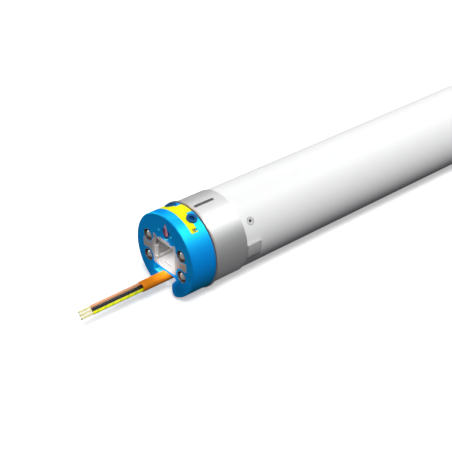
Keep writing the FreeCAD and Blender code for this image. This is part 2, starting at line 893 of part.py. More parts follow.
def limit_nut():
    """Travelling nut on the near spindle, with the dog that trips the microswitch."""
    x0 = nut_middle - nut_length / 2
    x1 = x0 + nut_length
    spindle = (-spindle_centre, 0)
    guide = (-guide_y, guide_z)
    dog = from_adjuster_frame(*rack_switch_place())
    elbow = ((spindle[0] + guide[0]) / 2, (spindle[1] + guide[1]) / 2)
    body = join([rod(nut_radius, x0, x1, *spindle), rod(nut_boss, x0, x1, *guide),
                 strip(spindle, guide, nut_boss, x0, x1), strip(elbow, dog, dog_radius, x0, x1),
                 rod(dog_radius, x0, x1, *dog)])
    body = body.cut(rod(spindle_radius + spindle_clearance, x0, x1, *spindle))
    return body.cut(rod(guide_radius + spindle_clearance, x0, x1, *guide))


def terminal_block():
    """Block where the cable's cores meet the inner wiring."""
    half = terminal_side / 2
    return block(jacket_back, jacket_back + terminal_length, -half, half, cable_z - half, cable_z + half)


# Crown


def crown_washer():
    """Pale ring between the head and the crown."""
    return tube(washer_radius, journal_radius + seat_gap, washer_start, washer_end)


def crown():
    """Drive ring that follows the roller tube, with its internal gear, slot and drive key."""
    body = tube(crown_radius, journal_radius + journal_clearance, crown_start, crown_end)
    body = body.cut(internal_cutter(crown_gear_teeth, limit_module, 0, crown_start,
                                    crown_start + crown_gear_width))
    key = sector(tube_radius + key_height, tube_radius + key_gap, crown_end, crown_end + key_length,
                 key_bearing - key_angle / 2, key_bearing + key_angle / 2)
    half = slot_width / 2
    bottom = crown_radius - slot_depth
    slot = block(slot_start + half, slot_end - half, -half, half, bottom, crown_radius + margin)
    for x in (slot_start + half, slot_end - half):
        slot = slot.fuse(Part.makeCylinder(half, slot_depth + margin, V(x, 0, bottom)))
    return join([body, key]).cut(to_bearing(slot, slot_bearing))


# Steel tube


def rivet_holes(x):
    """Round holes through the steel tube for one ring of screws."""
    holes = []
    for i in range(rivet_count):
        hole = Part.makeCylinder(rivet_radius + rivet_gap, tube_radius + margin, V(x, 0, 0), V(0, 0, 1))
        holes.append(to_bearing(hole, rivet_bearing + 360 * i / rivet_count))
    return holes


def rivet_ring(x):
    """Ring of flush socket screws through the steel tube."""
    screws = []
    z_axis = V(0, 0, 1)
    top = math.sqrt(tube_radius ** 2 - rivet_radius ** 2)
    depth = inner_radius - rear_bore
    for i in range(rivet_count):
        head = Part.makeCylinder(rivet_radius, top - tube_bore, V(x, 0, tube_bore), z_axis)
        shank = Part.makeCylinder(rivet_shank, depth, V(x, 0, tube_bore - depth), z_axis)
        socket = Part.makeCylinder(rivet_socket, rivet_socket_depth, V(x, 0, top - rivet_socket_depth),
                                   z_axis)
        screw = join([head, shank]).cut(socket)
        screws.append(to_bearing(screw, rivet_bearing + 360 * i / rivet_count))
    return screws


def motor_tube():
    """White steel tube from the crown to the output end."""
    body = tube(tube_radius, tube_bore, tube_start, tube_end)
    for hole in rivet_holes(rivet_x) + rivet_holes(end_screw_x):
        body = body.cut(hole)
    return body


# Capacitor


def capacitor():
    """Run capacitor with two tabs on its front."""
    can = rod(capacitor_radius, capacitor_start, capacitor_start + capacitor_length)
    boss_start = capacitor_start - capacitor_boss_height
    boss = rod(capacitor_boss, boss_start, capacitor_start)
    tabs = [block(boss_start - tab_length, boss_start, y - tab_thickness / 2, y + tab_thickness / 2,
                  -tab_width / 2, tab_width / 2)
            for y in (-capacitor_boss / 2, capacitor_boss / 2)]
    return join([can, boss] + tabs)


def capacitor_holder():
    """Sleeve with ribs that centres the capacitor in the tube."""
    x0 = capacitor_start + holder_inset
    x1 = capacitor_start + capacitor_length - holder_inset
    inner = capacitor_radius + seat_gap
    ribs = [turned(block(x0, x1, -rib_thickness / 2, rib_thickness / 2, inner, tube_radius),
                   360 * i / capacitor_ribs) for i in range(capacitor_ribs)]
    ribs = [rib.common(rod(inner_radius, x0, x1)) for rib in ribs]
    sleeve = rod(inner + capacitor_wall, x0, x1)
    return join([sleeve] + ribs).cut(rod(inner, x0, x1))


# Motor


def end_shield(outside, stack_face):
    """Cup that carries one bush and locates the stator stack."""
    inward = 1 if stack_face > outside else -1
    plate = outside + inward * shield_thickness
    hub = plate + inward * hub_extra
    seat = bush_radius + seat_gap
    return revolve([(outside, seat), (outside, inner_radius), (stack_face, inner_radius),
                    (stack_face, inner_radius - shield_wall), (plate, inner_radius - shield_wall),
                    (plate, seat + hub_wall), (hub, seat + hub_wall), (hub, seat)])


def bush(outside, inward):
    """Sintered bush in an end shield."""
    ends = sorted([outside, outside + inward * (shield_thickness + hub_extra)])
    return tube(bush_radius, shaft_radius + bush_clearance, *ends)


def slot_bars(width, bottom, mouth, x0, x1):
    """Radial bars spaced round the stator, for its slots and for the coils in them."""
    bars = []
    for i in range(stator_slots):
        bar = block(x0, x1, -width / 2, width / 2, mouth, bottom)
        bars.append(turned(bar, 360 * i / stator_slots))
    return bars


def stator_core():
    """Laminated stack with open slots."""
    core = tube(inner_radius, stator_bore, stack_start, stack_end)
    cuts = slot_bars(stator_slot_width, stator_slot_bottom, slot_shoulder, stack_start, stack_end)
    cuts = cuts + slot_bars(slot_mouth, slot_shoulder + margin, stator_bore - margin, stack_start,
                            stack_end)
    return core.cut(cuts[0].fuse(cuts[1:]))


def stator_winding():
    """Coils as bars through the slots, joined by an end turn at each end."""
    inner = slot_shoulder + winding_gap
    outer = stator_slot_bottom - winding_gap
    x0 = stack_start - winding_overhang
    x1 = stack_end + winding_overhang
    bars = slot_bars(stator_slot_width - 2 * winding_gap, outer, inner + winding_gap, x0, x1)
    ends = [tube(outer + winding_gap, inner, x0, stack_start - winding_gap),
            tube(outer + winding_gap, inner, stack_end + winding_gap, x1)]
    return join(ends + bars)


def rotor_core():
    """Squirrel-cage rotor pressed on the shaft."""
    radius = stator_bore - air_gap
    body = tube(radius, shaft_radius + seat_gap, stack_start, stack_end)
    outer = radius - rotor_ring_inset
    inner = outer - rotor_ring_wall
    ends = [tube(outer, inner, stack_start - rotor_ring, stack_start),
            tube(outer, inner, stack_end, stack_end + rotor_ring)]
    return join([body] + ends)


def rotor_shaft():
    """Shaft through the motor and brake, with the first stage's sun gear cut on its end."""
    x1 = gear_start + gear_plate_thickness + stage_gap
    sun = external_gear(sun_teeth, gear_module, 90, x1, x1 + stage_widths[0])
    return join([rod(shaft_radius, motor_start - shaft_overhang, x1), sun])


# Brake


def pin_places(radius, count):
    """Y and Z of points spaced round a circle, the first at the top."""
    return [at_bearing(radius, 90 + 360 * i / count) for i in range(count)]


def brake_disc():
    """Friction disc that turns with the shaft."""
    return tube(brake_disc_radius, shaft_radius + seat_gap, brake_start, brake_start + brake_disc_thickness)


def brake_armature():
    """Plate that a spring presses on the disc and the coil pulls away."""
    plate = tube(armature_radius, brake_spring_inner, armature_start,
                 armature_start + armature_thickness)
    for y, z in pin_places(brake_pin_circle, brake_pin_count):
        plate = plate.cut(rod(brake_pin_radius + spindle_clearance, armature_start,
                              armature_start + armature_thickness, y, z))
    return plate


def brake_yoke():
    """Steel cup of the brake magnet, with the pins that keep the armature from turning."""
    x1 = yoke_start + yoke_length
    body = tube(inner_radius, shaft_radius + shaft_room, yoke_start, x1)
    body = body.cut(tube(coil_outer + winding_gap, coil_inner - winding_gap, yoke_start,
                         yoke_start + coil_length + 2 * winding_gap))
    body = body.cut(rod(brake_spring_outer + winding_gap, yoke_start, yoke_start + spring_pocket))
    pins = [rod(brake_pin_radius, armature_start, yoke_start + margin, y, z)
            for y, z in pin_places(brake_pin_circle, brake_pin_count)]
    return join([body] + pins)


def brake_coil():
    """Coil of the brake magnet."""
    return tube(coil_outer, coil_inner, yoke_start + winding_gap, yoke_start + winding_gap + coil_length)


def brake_spring():
    """Spring round the shaft, at its pressed length in the yoke's pocket."""
    return tube(brake_spring_outer, brake_spring_inner, yoke_start, yoke_start + spring_pocket)


# Planetary gear


def ring_gear():
    """Ring gear that all the stages share, with a wall towards the brake."""
    x0 = gear_start + gear_plate_thickness
    body = rod(inner_radius, gear_start, gear_end)
    body = body.cut(rod(shaft_radius + shaft_room, gear_start, x0))
    return body.cut(internal_cutter(ring_teeth, gear_module, 90, x0, gear_end))


def planet(stage, index):
    """One planet gear of one stage."""
    x0 = stage_starts()[stage]
    x1 = x0 + stage_widths[stage]
    gear = external_gear(planet_teeth, gear_module, 90 + 180 / planet_teeth, x0, x1)
    gear = gear.cut(rod(planet_pin_radius + planet_clearance, x0, x1))
    gear.translate(V(0, 0, planet_distance))
    return turned(gear, 360 * index / planet_count)


def carrier(stage):
    """Planet carrier with its pins and, before the last stage, the next sun gear."""
    x0 = stage_starts()[stage]
    plate_start = x0 + stage_widths[stage] + stage_gap
    plate_end = plate_start + carrier_thickness
    pieces = [rod(carrier_radius, plate_start, plate_end)]
    for i in range(planet_count):
        pieces.append(turned(rod(planet_pin_radius, x0, plate_start, 0, planet_distance),
                             360 * i / planet_count))
    if stage + 1 < len(stage_widths):
        sun_end = stage_starts()[stage + 1] + stage_widths[stage + 1]
        pieces.append(external_gear(sun_teeth, gear_module, 90, plate_end, sun_end))
        return join(pieces)
    half = output_square / 2 + seat_gap
    return join(pieces).cut(block(plate_start, plate_end, -half, half, -half, half))


def output_shaft():
    """Output shaft: square root in the last carrier, round journal and square drive end."""
    plate_end = gear_end - stage_gap
    half = output_square / 2
    root = block(plate_end - carrier_thickness, plate_end, -half, half, -half, half)
    journal_stop = end_cap_end + circlip_width + 2 * circlip_rim
    journal = rod(output_radius, plate_end, journal_stop)
    drive = block(journal_stop, journal_stop + output_square_length, -half, half, -half, half)
    groove_start = end_cap_end + circlip_rim / 2
    groove = tube(output_radius + margin, output_radius - circlip_depth, groove_start,
                  groove_start + circlip_width + 2 * seat_gap)
    return join([root, journal, drive]).cut(groove)


def output_circlip():
    """Open ring in the groove of the output shaft."""
    x0 = end_cap_end + circlip_rim / 2 + seat_gap
    x1 = x0 + circlip_width
    ring = tube(output_radius + circlip_rim, output_radius - circlip_depth + seat_gap, x0, x1)
    half = circlip_opening / 2
    return ring.cut(block(x0, x1, -half, half, -output_radius - circlip_rim, 0))


def output_bush():
    """Bush of the output shaft."""
    return tube(output_bush_radius, output_radius + output_clearance, gear_end, gear_end + end_cap_bearing)


def end_cap():
    """Die-cast end of the tube that holds the output bush."""
    seat = output_bush_radius + seat_gap
    shoulder = gear_end + end_cap_bearing
    neck = output_radius + neck_gap
    hole_start = output_bush_radius + end_screw_wall
    body = revolve([(gear_end, seat), (gear_end, inner_radius), (tube_end, inner_radius),
                    (tube_end, tube_radius), (end_cap_end, tube_radius), (end_cap_end, neck),
                    (shoulder, neck), (shoulder, seat)])
    for i in range(rivet_count):
        hole = Part.makeCylinder(rivet_shank + rivet_gap, tube_radius - hole_start,
                                 V(end_screw_x, 0, hole_start), V(0, 0, 1))
        body = body.cut(to_bearing(hole, rivet_bearing + 360 * i / rivet_count))
    return body


# Cable


def cable_gland():
    """Grip round the cable behind the notch."""
    sleeve = tube(gland_radius, cable_radius + gland_gap, gland_start, head_length, 0, cable_z)
    front = block(gland_start, notch_depth, -gland_radius, gland_radius, notch_top - gland_lip, 0)
    top = -socket_height / 2 - plate_floor - plate_clearance
    return sleeve.cut(front).cut(block(gland_start, head_length, -gland_radius, gland_radius, top, 0))


def cable_jacket():
    """Orange jacket, straight out of the notch."""
    return rod(cable_radius, jacket_front, jacket_back, 0, cable_z)


def core_place(index):
    """Y and Z of one core: -1 striped, 0 black, 1 brown."""
    y, z = at_bearing(core_pitch * index, core_row_angle)
    return y, cable_z + z


def core(index):
    """One insulated core in front of the jacket."""
    return rod(core_radius, core_front, jacket_front, *core_place(index))


def bare_ends():
    """Bare wire at the front of each core."""
    return Part.makeCompound([rod(bare_radius, bare_front, core_front, *core_place(index))
                              for index in (-1, 0, 1)])


def export(name, shape):
    """Write one node's STEP file."""
    shape.exportStep(os.path.join("parts", name + ".step"))


def build():
    """Make every node."""
    export("head_housing", head_housing())
    export("head_plate", head_plate())
    export("head_screws", head_screws())
    export("limit_cover", limit_cover())
    export("setting_button", setting_button())
    export("setting_switch", setting_switch())
    export("crown_washer", crown_washer())
    export("crown", crown())
    export("limit_housing", limit_housing())
    export("limit_end_plate", end_plate())
    export("terminal_block", terminal_block())
    for side in sides:
        export("limit_adjuster_" + side, on_side(adjuster(), side))
        export("switch_carriage_" + side, on_side(rack_carriage(), side))
        export("limit_switch_" + side, on_side(limit_switch(), side))
        export("limit_spindle_" + side, limit_spindle(side))
    export("guide_rods", Part.makeCompound([guide_rod(), mirrored(guide_rod())]))
    export("limit_nut_near", limit_nut())
    export("limit_nut_far", mirrored(limit_nut()))
    export("motor_tube", motor_tube())
    export("tube_screws", Part.makeCompound(rivet_ring(rivet_x) + rivet_ring(end_screw_x)))
    export("capacitor", capacitor())
    export("capacitor_holder", capacitor_holder())
    motor_end = rear_shield_start + shield_thickness
    export("motor_shields", Part.makeCompound([end_shield(motor_start, stack_start),
                                               end_shield(motor_end, stack_end)]))
    export("motor_bushes", Part.makeCompound([bush(motor_start, 1), bush(motor_end, -1)]))
    export("stator_core", stator_core())
    export("stator_winding", stator_winding())
    export("rotor_core", rotor_core())
    export("rotor_shaft", rotor_shaft())
    export("brake_disc", brake_disc())
    export("brake_armature", brake_armature())
    export("brake_yoke", brake_yoke())
    export("brake_coil", brake_coil())
    export("brake_spring", brake_spring())
    export("ring_gear", ring_gear())
    for stage in range(len(stage_widths)):
        export("carrier_%d" % (stage + 1), carrier(stage))
        for index in range(planet_count):
            export("planet_%d_%d" % (stage + 1, index + 1), planet(stage, index))
    export("output_shaft", output_shaft())
    export("output_circlip", output_circlip())
    export("output_bush", output_bush())
    export("end_cap", end_cap())
    export("cable_gland", cable_gland())
    export("cable_jacket", cable_jacket())
    export("core_brown", core(1))
    export("core_black", core(0))
    export("core_striped", core(-1))
    export("bare_ends", bare_ends())


os.makedirs("parts", exist_ok=True)
build()
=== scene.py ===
"""Tubular motor for roller shutters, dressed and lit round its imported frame."""
import bmesh
import bpy
import math
from mathutils import Matrix, Vector


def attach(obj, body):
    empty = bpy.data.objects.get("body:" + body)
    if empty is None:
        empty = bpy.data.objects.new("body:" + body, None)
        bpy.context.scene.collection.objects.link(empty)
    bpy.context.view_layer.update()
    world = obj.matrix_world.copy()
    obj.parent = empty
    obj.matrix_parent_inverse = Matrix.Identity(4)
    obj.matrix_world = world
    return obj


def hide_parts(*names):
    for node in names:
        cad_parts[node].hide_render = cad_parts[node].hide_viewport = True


bl_info = {
    "name": "Tubular motor",
    "version": (1, 0, 0),
    "blender": (4, 5, 0),
    "location": "View3D > Sidebar > Motor",
    "description": "Finishes, cable, screws and studio of a tubular motor",
    "category": "Object",
}

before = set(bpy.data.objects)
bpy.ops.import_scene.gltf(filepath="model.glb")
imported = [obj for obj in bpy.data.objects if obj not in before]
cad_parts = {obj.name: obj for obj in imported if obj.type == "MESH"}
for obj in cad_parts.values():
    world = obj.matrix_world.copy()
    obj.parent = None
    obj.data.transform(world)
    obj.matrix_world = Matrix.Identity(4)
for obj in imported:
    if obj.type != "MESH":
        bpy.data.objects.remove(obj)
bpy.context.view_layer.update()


# Sizes and colours that a user would change

def colour(name, text, default):
    return bpy.props.FloatVectorProperty(name=name, description=text, default=default, size=3,
                                         subtype="COLOR", min=0.0, max=1.0)


def length(name, text, default):
    return bpy.props.FloatProperty(name=name, description=text, default=default, min=0.0,
                                   unit="LENGTH", precision=4)


class MotorColours(bpy.types.PropertyGroup):
    """Colours of the motor's finishes."""
    head: colour("Head", "Moulded head", (0.0005, 0.23, 1.0))
    adjuster: colour("Adjusters", "Limit adjusters", (0.001, 0.075, 0.25))
    cover: colour("Cover", "Cover round the adjusters", (0.93, 0.90, 0.004))
    plate: colour("Plate", "Die-cast plate and end cap", (0.475, 0.462, 0.459))
    # Painted light on the button: its lit side, the painted shade of its other side and the painted
    # highlight at its tip
    button: colour("Button", "Setting button, the side that the light reaches", (0.86, 0.36, 0.50))
    button_painted_shade: colour("Button shade", "Setting button, its other side", (0.30, 0.02, 0.07))
    button_tip_highlight: colour("Button tip", "Setting button, its narrow end", (0.62, 0.44, 0.66))
    # Painted shade: the surround stands in for the shade in a recess round the button
    surround: colour("Surround", "Panel round the setting button", (0.001, 0.055, 0.19))
    # Painted highlight: the cyan of the pit floors and of the ledge's pad
    painted_glint: colour("Pit floors", "Floors of the pits round the button", (0.10, 0.90, 1.0))
    # Painted shade: the dark bottoms of the crown's slot, the plate's slit and the screws' sockets
    groove: colour("Groove", "Bottoms of the crown's slot, plate's slit and screws' sockets",
                   (0.06, 0.06, 0.065))
    joint: colour("Joint", "Joint round the tube's screws", (0.30, 0.30, 0.31))
    key: colour("Key", "Face of the crown's drive key", (0.50, 0.50, 0.50))
    # Painted shade: the dark olive of the cover's window floors is the yellow cover in shade
    pocket_shade: colour("Pocket", "Floor of the cover's two windows", (0.36, 0.27, 0.012))
    crown: colour("Crown", "Crown", (0.72, 0.72, 0.72))
    washer: colour("Washer", "Washer between the head and the crown", (0.52, 0.45, 0.40))
    tube: colour("Tube", "Painted steel tube", (0.84, 0.84, 0.84))
    jacket: colour("Jacket", "Cable jacket", (1.0, 0.255, 0.004))
    brown: colour("Brown core", "Insulation of the brown core", (0.80, 0.36, 0.16))
    black: colour("Black core", "Insulation of the black core", (0.022, 0.021, 0.024))
    yellow: colour("Striped core", "Insulation of the striped core", (0.90, 0.90, 0.006))
    stripe: colour("Stripe", "Stripe of the striped core", (0.55, 0.72, 0.008))
    wire: colour("Wire", "Bare strands", (0.86, 0.80, 0.44))


class MotorSizes(bpy.types.PropertyGroup):
    """Sizes of the pieces that are added round the frame."""
    jacket_diameter: length("Jacket", "Diameter of the cable's jacket", 0.0074)
    jacket_wall: length("Jacket wall", "Thickness of the jacket", 0.0007)
    mouth_depth: length("Mouth", "How far the cores go back inside the jacket's end", 0.004)
    core_diameter: length("Core", "Diameter of an insulated core", 0.0021)
    wire_diameter: length("Wire", "Diameter of the bare end of a core", 0.0018)
    screw_radius: length("Screw head", "Radius of the head screws", 0.0031)
    floor_size: length("Floor", "Side of the floor", 8.0)


# Meshes

def piece(name, mesh, body, material):
    """Object of one mesh that rides on a body."""
    thing = bpy.data.objects.new(name, mesh)
    bpy.context.scene.collection.objects.link(thing)
    mesh.materials.append(material)
    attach(thing, body)
    return thing


def mesh_of(name, bm, smooth=True):
    """Mesh from a bmesh, with outward faces."""
    bmesh.ops.recalc_face_normals(bm, faces=bm.faces)
    for face in bm.faces:
        face.smooth = smooth
    mesh = bpy.data.meshes.new(name)
    bm.to_mesh(mesh)
    bm.free()
    return mesh


def add_rings(bm, rings, closed=False):
    """Skin of quads over rings with as many points each, with a cap at each end unless closed."""
    loops = [[bm.verts.new(p) for p in ring] for ring in rings]
    pairs = list(zip(loops, loops[1:]))
    if closed:
        pairs.append((loops[-1], loops[0]))
    for a, b in pairs:
        for i in range(len(a)):
            j = (i + 1) % len(a)
            bm.faces.new((a[i], a[j], b[j], b[i]))
    if not closed:
        bm.faces.new(loops[0])
        bm.faces.new(loops[-1])


def skin_mesh(name, rings, closed=False, smooth=True):
    """Mesh that is one skin over rings."""
    bm = bmesh.new()
    add_rings(bm, rings, closed)
    return mesh_of(name, bm, smooth)


def ring(centre, radius, steps, across=(0, 1, 0), up=(0, 0, 1), turn=0.0):
    """Circle of points round a centre."""
    across, up, centre = Vector(across), Vector(up), Vector(centre)
    points = []
    for i in range(steps):
        a = 2 * math.pi * i / steps + turn
        points.append(centre + across * math.cos(a) * radius + up * math.sin(a) * radius)
    return points


def shade_by_angle(mesh, degrees):
    """Smooth faces, with sharp edges where faces meet at more than an angle."""
    bm = bmesh.new()
    bm.from_mesh(mesh)
    for face in bm.faces:
        face.smooth = True
    for edge in bm.edges:
        edge.smooth = len(edge.link_faces) == 2 and edge.calc_face_angle() < math.radians(degrees)
    bm.to_mesh(mesh)
    bm.free()


def nurbs_points(name, points, resolution=10):
    """Points along the smooth line that a NURBS spline makes of a route."""
    curve = bpy.data.curves.new(name, "CURVE")
    curve.dimensions = "3D"
    spline = curve.splines.new("NURBS")
    spline.points.add(len(points) - 1)
    for point, place in zip(spline.points, points):
        point.co = (*place, 1.0)
    spline.order_u = 3
    spline.use_endpoint_u = True
    spline.resolution_u = resolution
    route = bpy.data.objects.new(name, curve)
    mesh = bpy.data.meshes.new_from_object(route)
    line = [v.co.copy() for v in mesh.vertices]
    bpy.data.objects.remove(route)
    bpy.data.curves.remove(curve)
    bpy.data.meshes.remove(mesh)
    return line


def frames_along(line):
    """Two directions square to a line at each of its points."""
    out = []
    for i, point in enumerate(line):
        ahead = line[min(i + 1, len(line) - 1)] - line[max(i - 1, 0)]
        ahead.normalize()
        across = Vector((0, 0, 1)).cross(ahead).normalized()
        out.append((across, ahead.cross(across)))
    return out


# Node groups and materials

BEVEL_SAMPLES = 4
WEAR_AND_HIGHLIGHT_STRENGTH = 9.0
COAT_ROUGHNESS = 0.3
GRAIN_HEIGHT = 0.00005
LINE_HEIGHT = 0.00003
LINE_ROUGHNESS = 0.15
LINE_SMOOTHNESS = 0.07
JOINT_SHARE = 0.22


def place(tree, kind, **values):
    """Shader node with the values of its sockets, by their names with _ for a space."""
    node = tree.nodes.new(kind)
    for name, value in values.items():
        node.inputs[name.replace("_", " ")].default_value = value
    return node


def feed(tree, value, slot):
    """Give a socket a link or a plain value."""
    if isinstance(value, bpy.types.NodeSocket):
        tree.links.new(value, slot)
    else:
        slot.default_value = value


def math_node(tree, operation, *values, clamp=False):
    """Result of one operation on sockets or plain numbers."""
    node = tree.nodes.new("ShaderNodeMath")
    node.operation = operation
    node.use_clamp = clamp
    for slot, value in zip(node.inputs, values):
        feed(tree, value, slot)
    return node.outputs[0]


def mix_colours(tree, factor, a, b):
    """Mix of two colours, which are sockets or plain colours."""
    node = tree.nodes.new("ShaderNodeMix")
    node.data_type = "RGBA"
    for name, value in (("Factor_Float", factor), ("A_Color", a), ("B_Color", b)):
        if name != "Factor_Float" and not isinstance(value, bpy.types.NodeSocket):
            value = (*value[:3], 1.0)
        feed(tree, value, next(s for s in node.inputs if s.identifier == name))
    return next(s for s in node.outputs if s.identifier == "Result_Color")


def bump_node(tree, height, strength, distance):
    """Bump from a height."""
    bump = place(tree, "ShaderNodeBump", Distance=distance)
    feed(tree, strength, bump.inputs["Strength"])
    tree.links.new(height, bump.inputs["Height"])
    return bump


def object_point(tree):
    """Socket of a point's place in its object."""
    return tree.nodes.new("ShaderNodeTexCoord").outputs["Object"]


def object_axes(tree):
    """Sockets of a point's X, Y and Z in its object."""
    split = tree.nodes.new("ShaderNodeSeparateXYZ")
    tree.links.new(object_point(tree), split.inputs[0])
    return split.outputs


def group(name, inputs, outputs):
    """Empty node group with named sockets."""
    tree = bpy.data.node_groups.new(name, "ShaderNodeTree")
    for label, value in inputs.items():
        made = tree.interface.new_socket(label, in_out="INPUT", socket_type="NodeSocketFloat")
        made.default_value = value
    for label, kind in outputs.items():
        tree.interface.new_socket(label, in_out="OUTPUT", socket_type=kind)
    return tree, tree.nodes.new("NodeGroupInput"), tree.nodes.new("NodeGroupOutput")


def skin_group():
    """Fine grain of a moulded, cast or painted surface, on edges that are slightly rounded."""
    tree, given, out = group(
        "surface_skin",
        {"Grain size": 0.0004, "Grain depth": 0.2, "Wave size": 0.02, "Edge radius": 0.0002},
        {"Normal": "NodeSocketVector", "Tone": "NodeSocketFloat"})
    where = object_point(tree)
    grain = place(tree, "ShaderNodeTexNoise", Detail=3.0, Roughness=0.6)
    wave = place(tree, "ShaderNodeTexNoise", Detail=2.0, Roughness=0.5)
    for noise, size in ((grain, "Grain size"), (wave, "Wave size")):
        tree.links.new(where, noise.inputs["Vector"])
        tree.links.new(math_node(tree, "DIVIDE", 1.0, given.outputs[size]), noise.inputs["Scale"])
    rounded = place(tree, "ShaderNodeBevel")
    rounded.samples = BEVEL_SAMPLES
    tree.links.new(given.outputs["Edge radius"], rounded.inputs["Radius"])
    bump = bump_node(tree, grain.outputs[0], given.outputs["Grain depth"], GRAIN_HEIGHT)
    tree.links.new(rounded.outputs[0], bump.inputs["Normal"])
    tree.links.new(bump.outputs[0], out.inputs["Normal"])
    tree.links.new(wave.outputs[0], out.inputs["Tone"])
    return tree


def wear_and_highlight_group():
    """Mask of the edges, broken up by noise, for wear and, where it is strong, a painted highlight.
    """
    tree, given, out = group(
        "edge_wear_and_highlight", {"Width": 0.0003, "Amount": 1.0, "Patch size": 0.002},
        {"Mask": "NodeSocketFloat"})
    rounded = place(tree, "ShaderNodeBevel")
    rounded.samples = BEVEL_SAMPLES
    tree.links.new(given.outputs["Width"], rounded.inputs["Radius"])
    face = tree.nodes.new("ShaderNodeNewGeometry").outputs["Normal"]
    dot = tree.nodes.new("ShaderNodeVectorMath")
    dot.operation = "DOT_PRODUCT"
    tree.links.new(rounded.outputs[0], dot.inputs[0])
    tree.links.new(face, dot.inputs[1])
    bend = math_node(tree, "SUBTRACT", 1.0, dot.outputs["Value"])
    patches = place(tree, "ShaderNodeTexNoise", Detail=2.0)
    tree.links.new(object_point(tree), patches.inputs["Vector"])
    tree.links.new(math_node(tree, "DIVIDE", 1.0, given.outputs["Patch size"]),
                   patches.inputs["Scale"])
    strength = math_node(tree, "MULTIPLY", patches.outputs[0], WEAR_AND_HIGHLIGHT_STRENGTH)
    broken = math_node(tree, "MULTIPLY", bend, strength)
    mask = math_node(tree, "MULTIPLY", broken, given.outputs["Amount"], clamp=True)
    tree.links.new(mask, out.inputs["Mask"])
    return tree


def brush_group():
    """Fine lines round the X axis, as a lathe or a draw leaves them."""
    tree, given, out = group("turning_lines", {"Pitch": 0.0002, "Depth": 0.2},
                             {"Normal": "NodeSocketVector", "Lines": "NodeSocketFloat"})
    axes = object_axes(tree)
    along = math_node(tree, "DIVIDE", axes["X"], given.outputs["Pitch"])
    lines = place(tree, "ShaderNodeTexNoise", Scale=1.0, Detail=3.0)
    lines.noise_dimensions = "1D"
    tree.links.new(along, lines.inputs["W"])
    bump = bump_node(tree, lines.outputs[0], given.outputs["Depth"], LINE_HEIGHT)
    tree.links.new(bump.outputs[0], out.inputs["Normal"])
    tree.links.new(lines.outputs[0], out.inputs["Lines"])
    return tree


def use_group(tree, name, make, **values):
    """Node of a group, which is made at its first use, with the values of its sockets."""
    node = tree.nodes.new("ShaderNodeGroup")
    node.node_tree = bpy.data.node_groups.get(name) or make()
    for label, value in values.items():
        node.inputs[label.replace("_", " ")].default_value = value
    return node


def principled(name, roughness, metallic=0.0, specular=0.5, tint=(1, 1, 1), coat=0.0, ior=1.5):
    """Material with its Principled shader."""
    material = bpy.data.materials.new(name)
    material.use_nodes = True
    tree = material.node_tree
    shader = tree.nodes["Principled BSDF"]
    for label, value in (("Roughness", roughness), ("Metallic", metallic), ("IOR", ior),
                         ("Specular IOR Level", specular), ("Specular Tint", (*tint, 1.0)),
                         ("Coat Weight", coat), ("Coat Roughness", COAT_ROUGHNESS)):
        shader.inputs[label].default_value = value
    return material, tree, shader


def skinned(name, base, roughness, grain=0.0004, depth=0.15, edge=0.0002, drift=0.06,
            wear_and_highlight=0.25, wear_and_highlight_tone=1.5, rough_drift=0.12, **shading):
    """Moulded, cast or painted finish: grain, rounded edges, drifting tone and lighter edges, which
    are wear and on the plate a painted highlight.
    """
    material, tree, shader = principled(name, roughness, **shading)
    skin = use_group(tree, "surface_skin", skin_group, Grain_size=grain, Grain_depth=depth,
                     Edge_radius=edge)
    edges = use_group(tree, "edge_wear_and_highlight", wear_and_highlight_group, Width=edge * 1.4, Amount=wear_and_highlight)
    darker = [c * (1 - drift) for c in base]
    lighter = [min(1.0, c * (1 + drift)) for c in base]
    worn_and_lit = [min(1.0, c * wear_and_highlight_tone + 0.02) for c in base]
    toned = mix_colours(tree, skin.outputs["Tone"], darker, lighter)
    tree.links.new(mix_colours(tree, edges.outputs["Mask"], toned, worn_and_lit),
                   shader.inputs["Base Color"])
    rough = math_node(tree, "MULTIPLY_ADD", skin.outputs["Tone"], rough_drift,
                      roughness - rough_drift / 2)
    tree.links.new(rough, shader.inputs["Roughness"])
    tree.links.new(skin.outputs["Normal"], shader.inputs["Normal"])
    return material


def turned_metal(name, base, roughness, pitch=0.0002, depth=0.25, metallic=1.0):
    """Metal with fine turning lines."""
    material, tree, shader = principled(name, roughness, metallic=metallic)
    lines = use_group(tree, "turning_lines", brush_group, Pitch=pitch, Depth=depth)
    toned = mix_colours(tree, lines.outputs["Lines"], [c * 0.85 for c in base],
                        [min(1.0, c * 1.12) for c in base])
    edges = use_group(tree, "edge_wear_and_highlight", wear_and_highlight_group, Width=0.0003, Amount=0.5)
    tree.links.new(mix_colours(tree, edges.outputs["Mask"], toned,
                               [min(1.0, c * 1.5) for c in base]), shader.inputs["Base Color"])
    rough = math_node(tree, "MULTIPLY_ADD", lines.outputs["Lines"], LINE_ROUGHNESS,
                      roughness - LINE_SMOOTHNESS)
    tree.links.new(rough, shader.inputs["Roughness"])
    tree.links.new(lines.outputs["Normal"], shader.inputs["Normal"])
    return material


def laminated(name, base, sheet):
    """Stack of thin sheets along X."""
    material, tree, shader = principled(name, 0.45, metallic=0.8)
    axes = object_axes(tree)
    phase = math_node(tree, "FRACT", math_node(tree, "DIVIDE", axes["X"], sheet))
    joint = math_node(tree, "LESS_THAN", phase, JOINT_SHARE)
    tree.links.new(mix_colours(tree, joint, base, [c * 0.35 for c in base]),
                   shader.inputs["Base Color"])
    bump = bump_node(tree, joint, 0.6, 0.0001)
    bump.invert = True
    tree.links.new(bump.outputs[0], shader.inputs["Normal"])
    return material


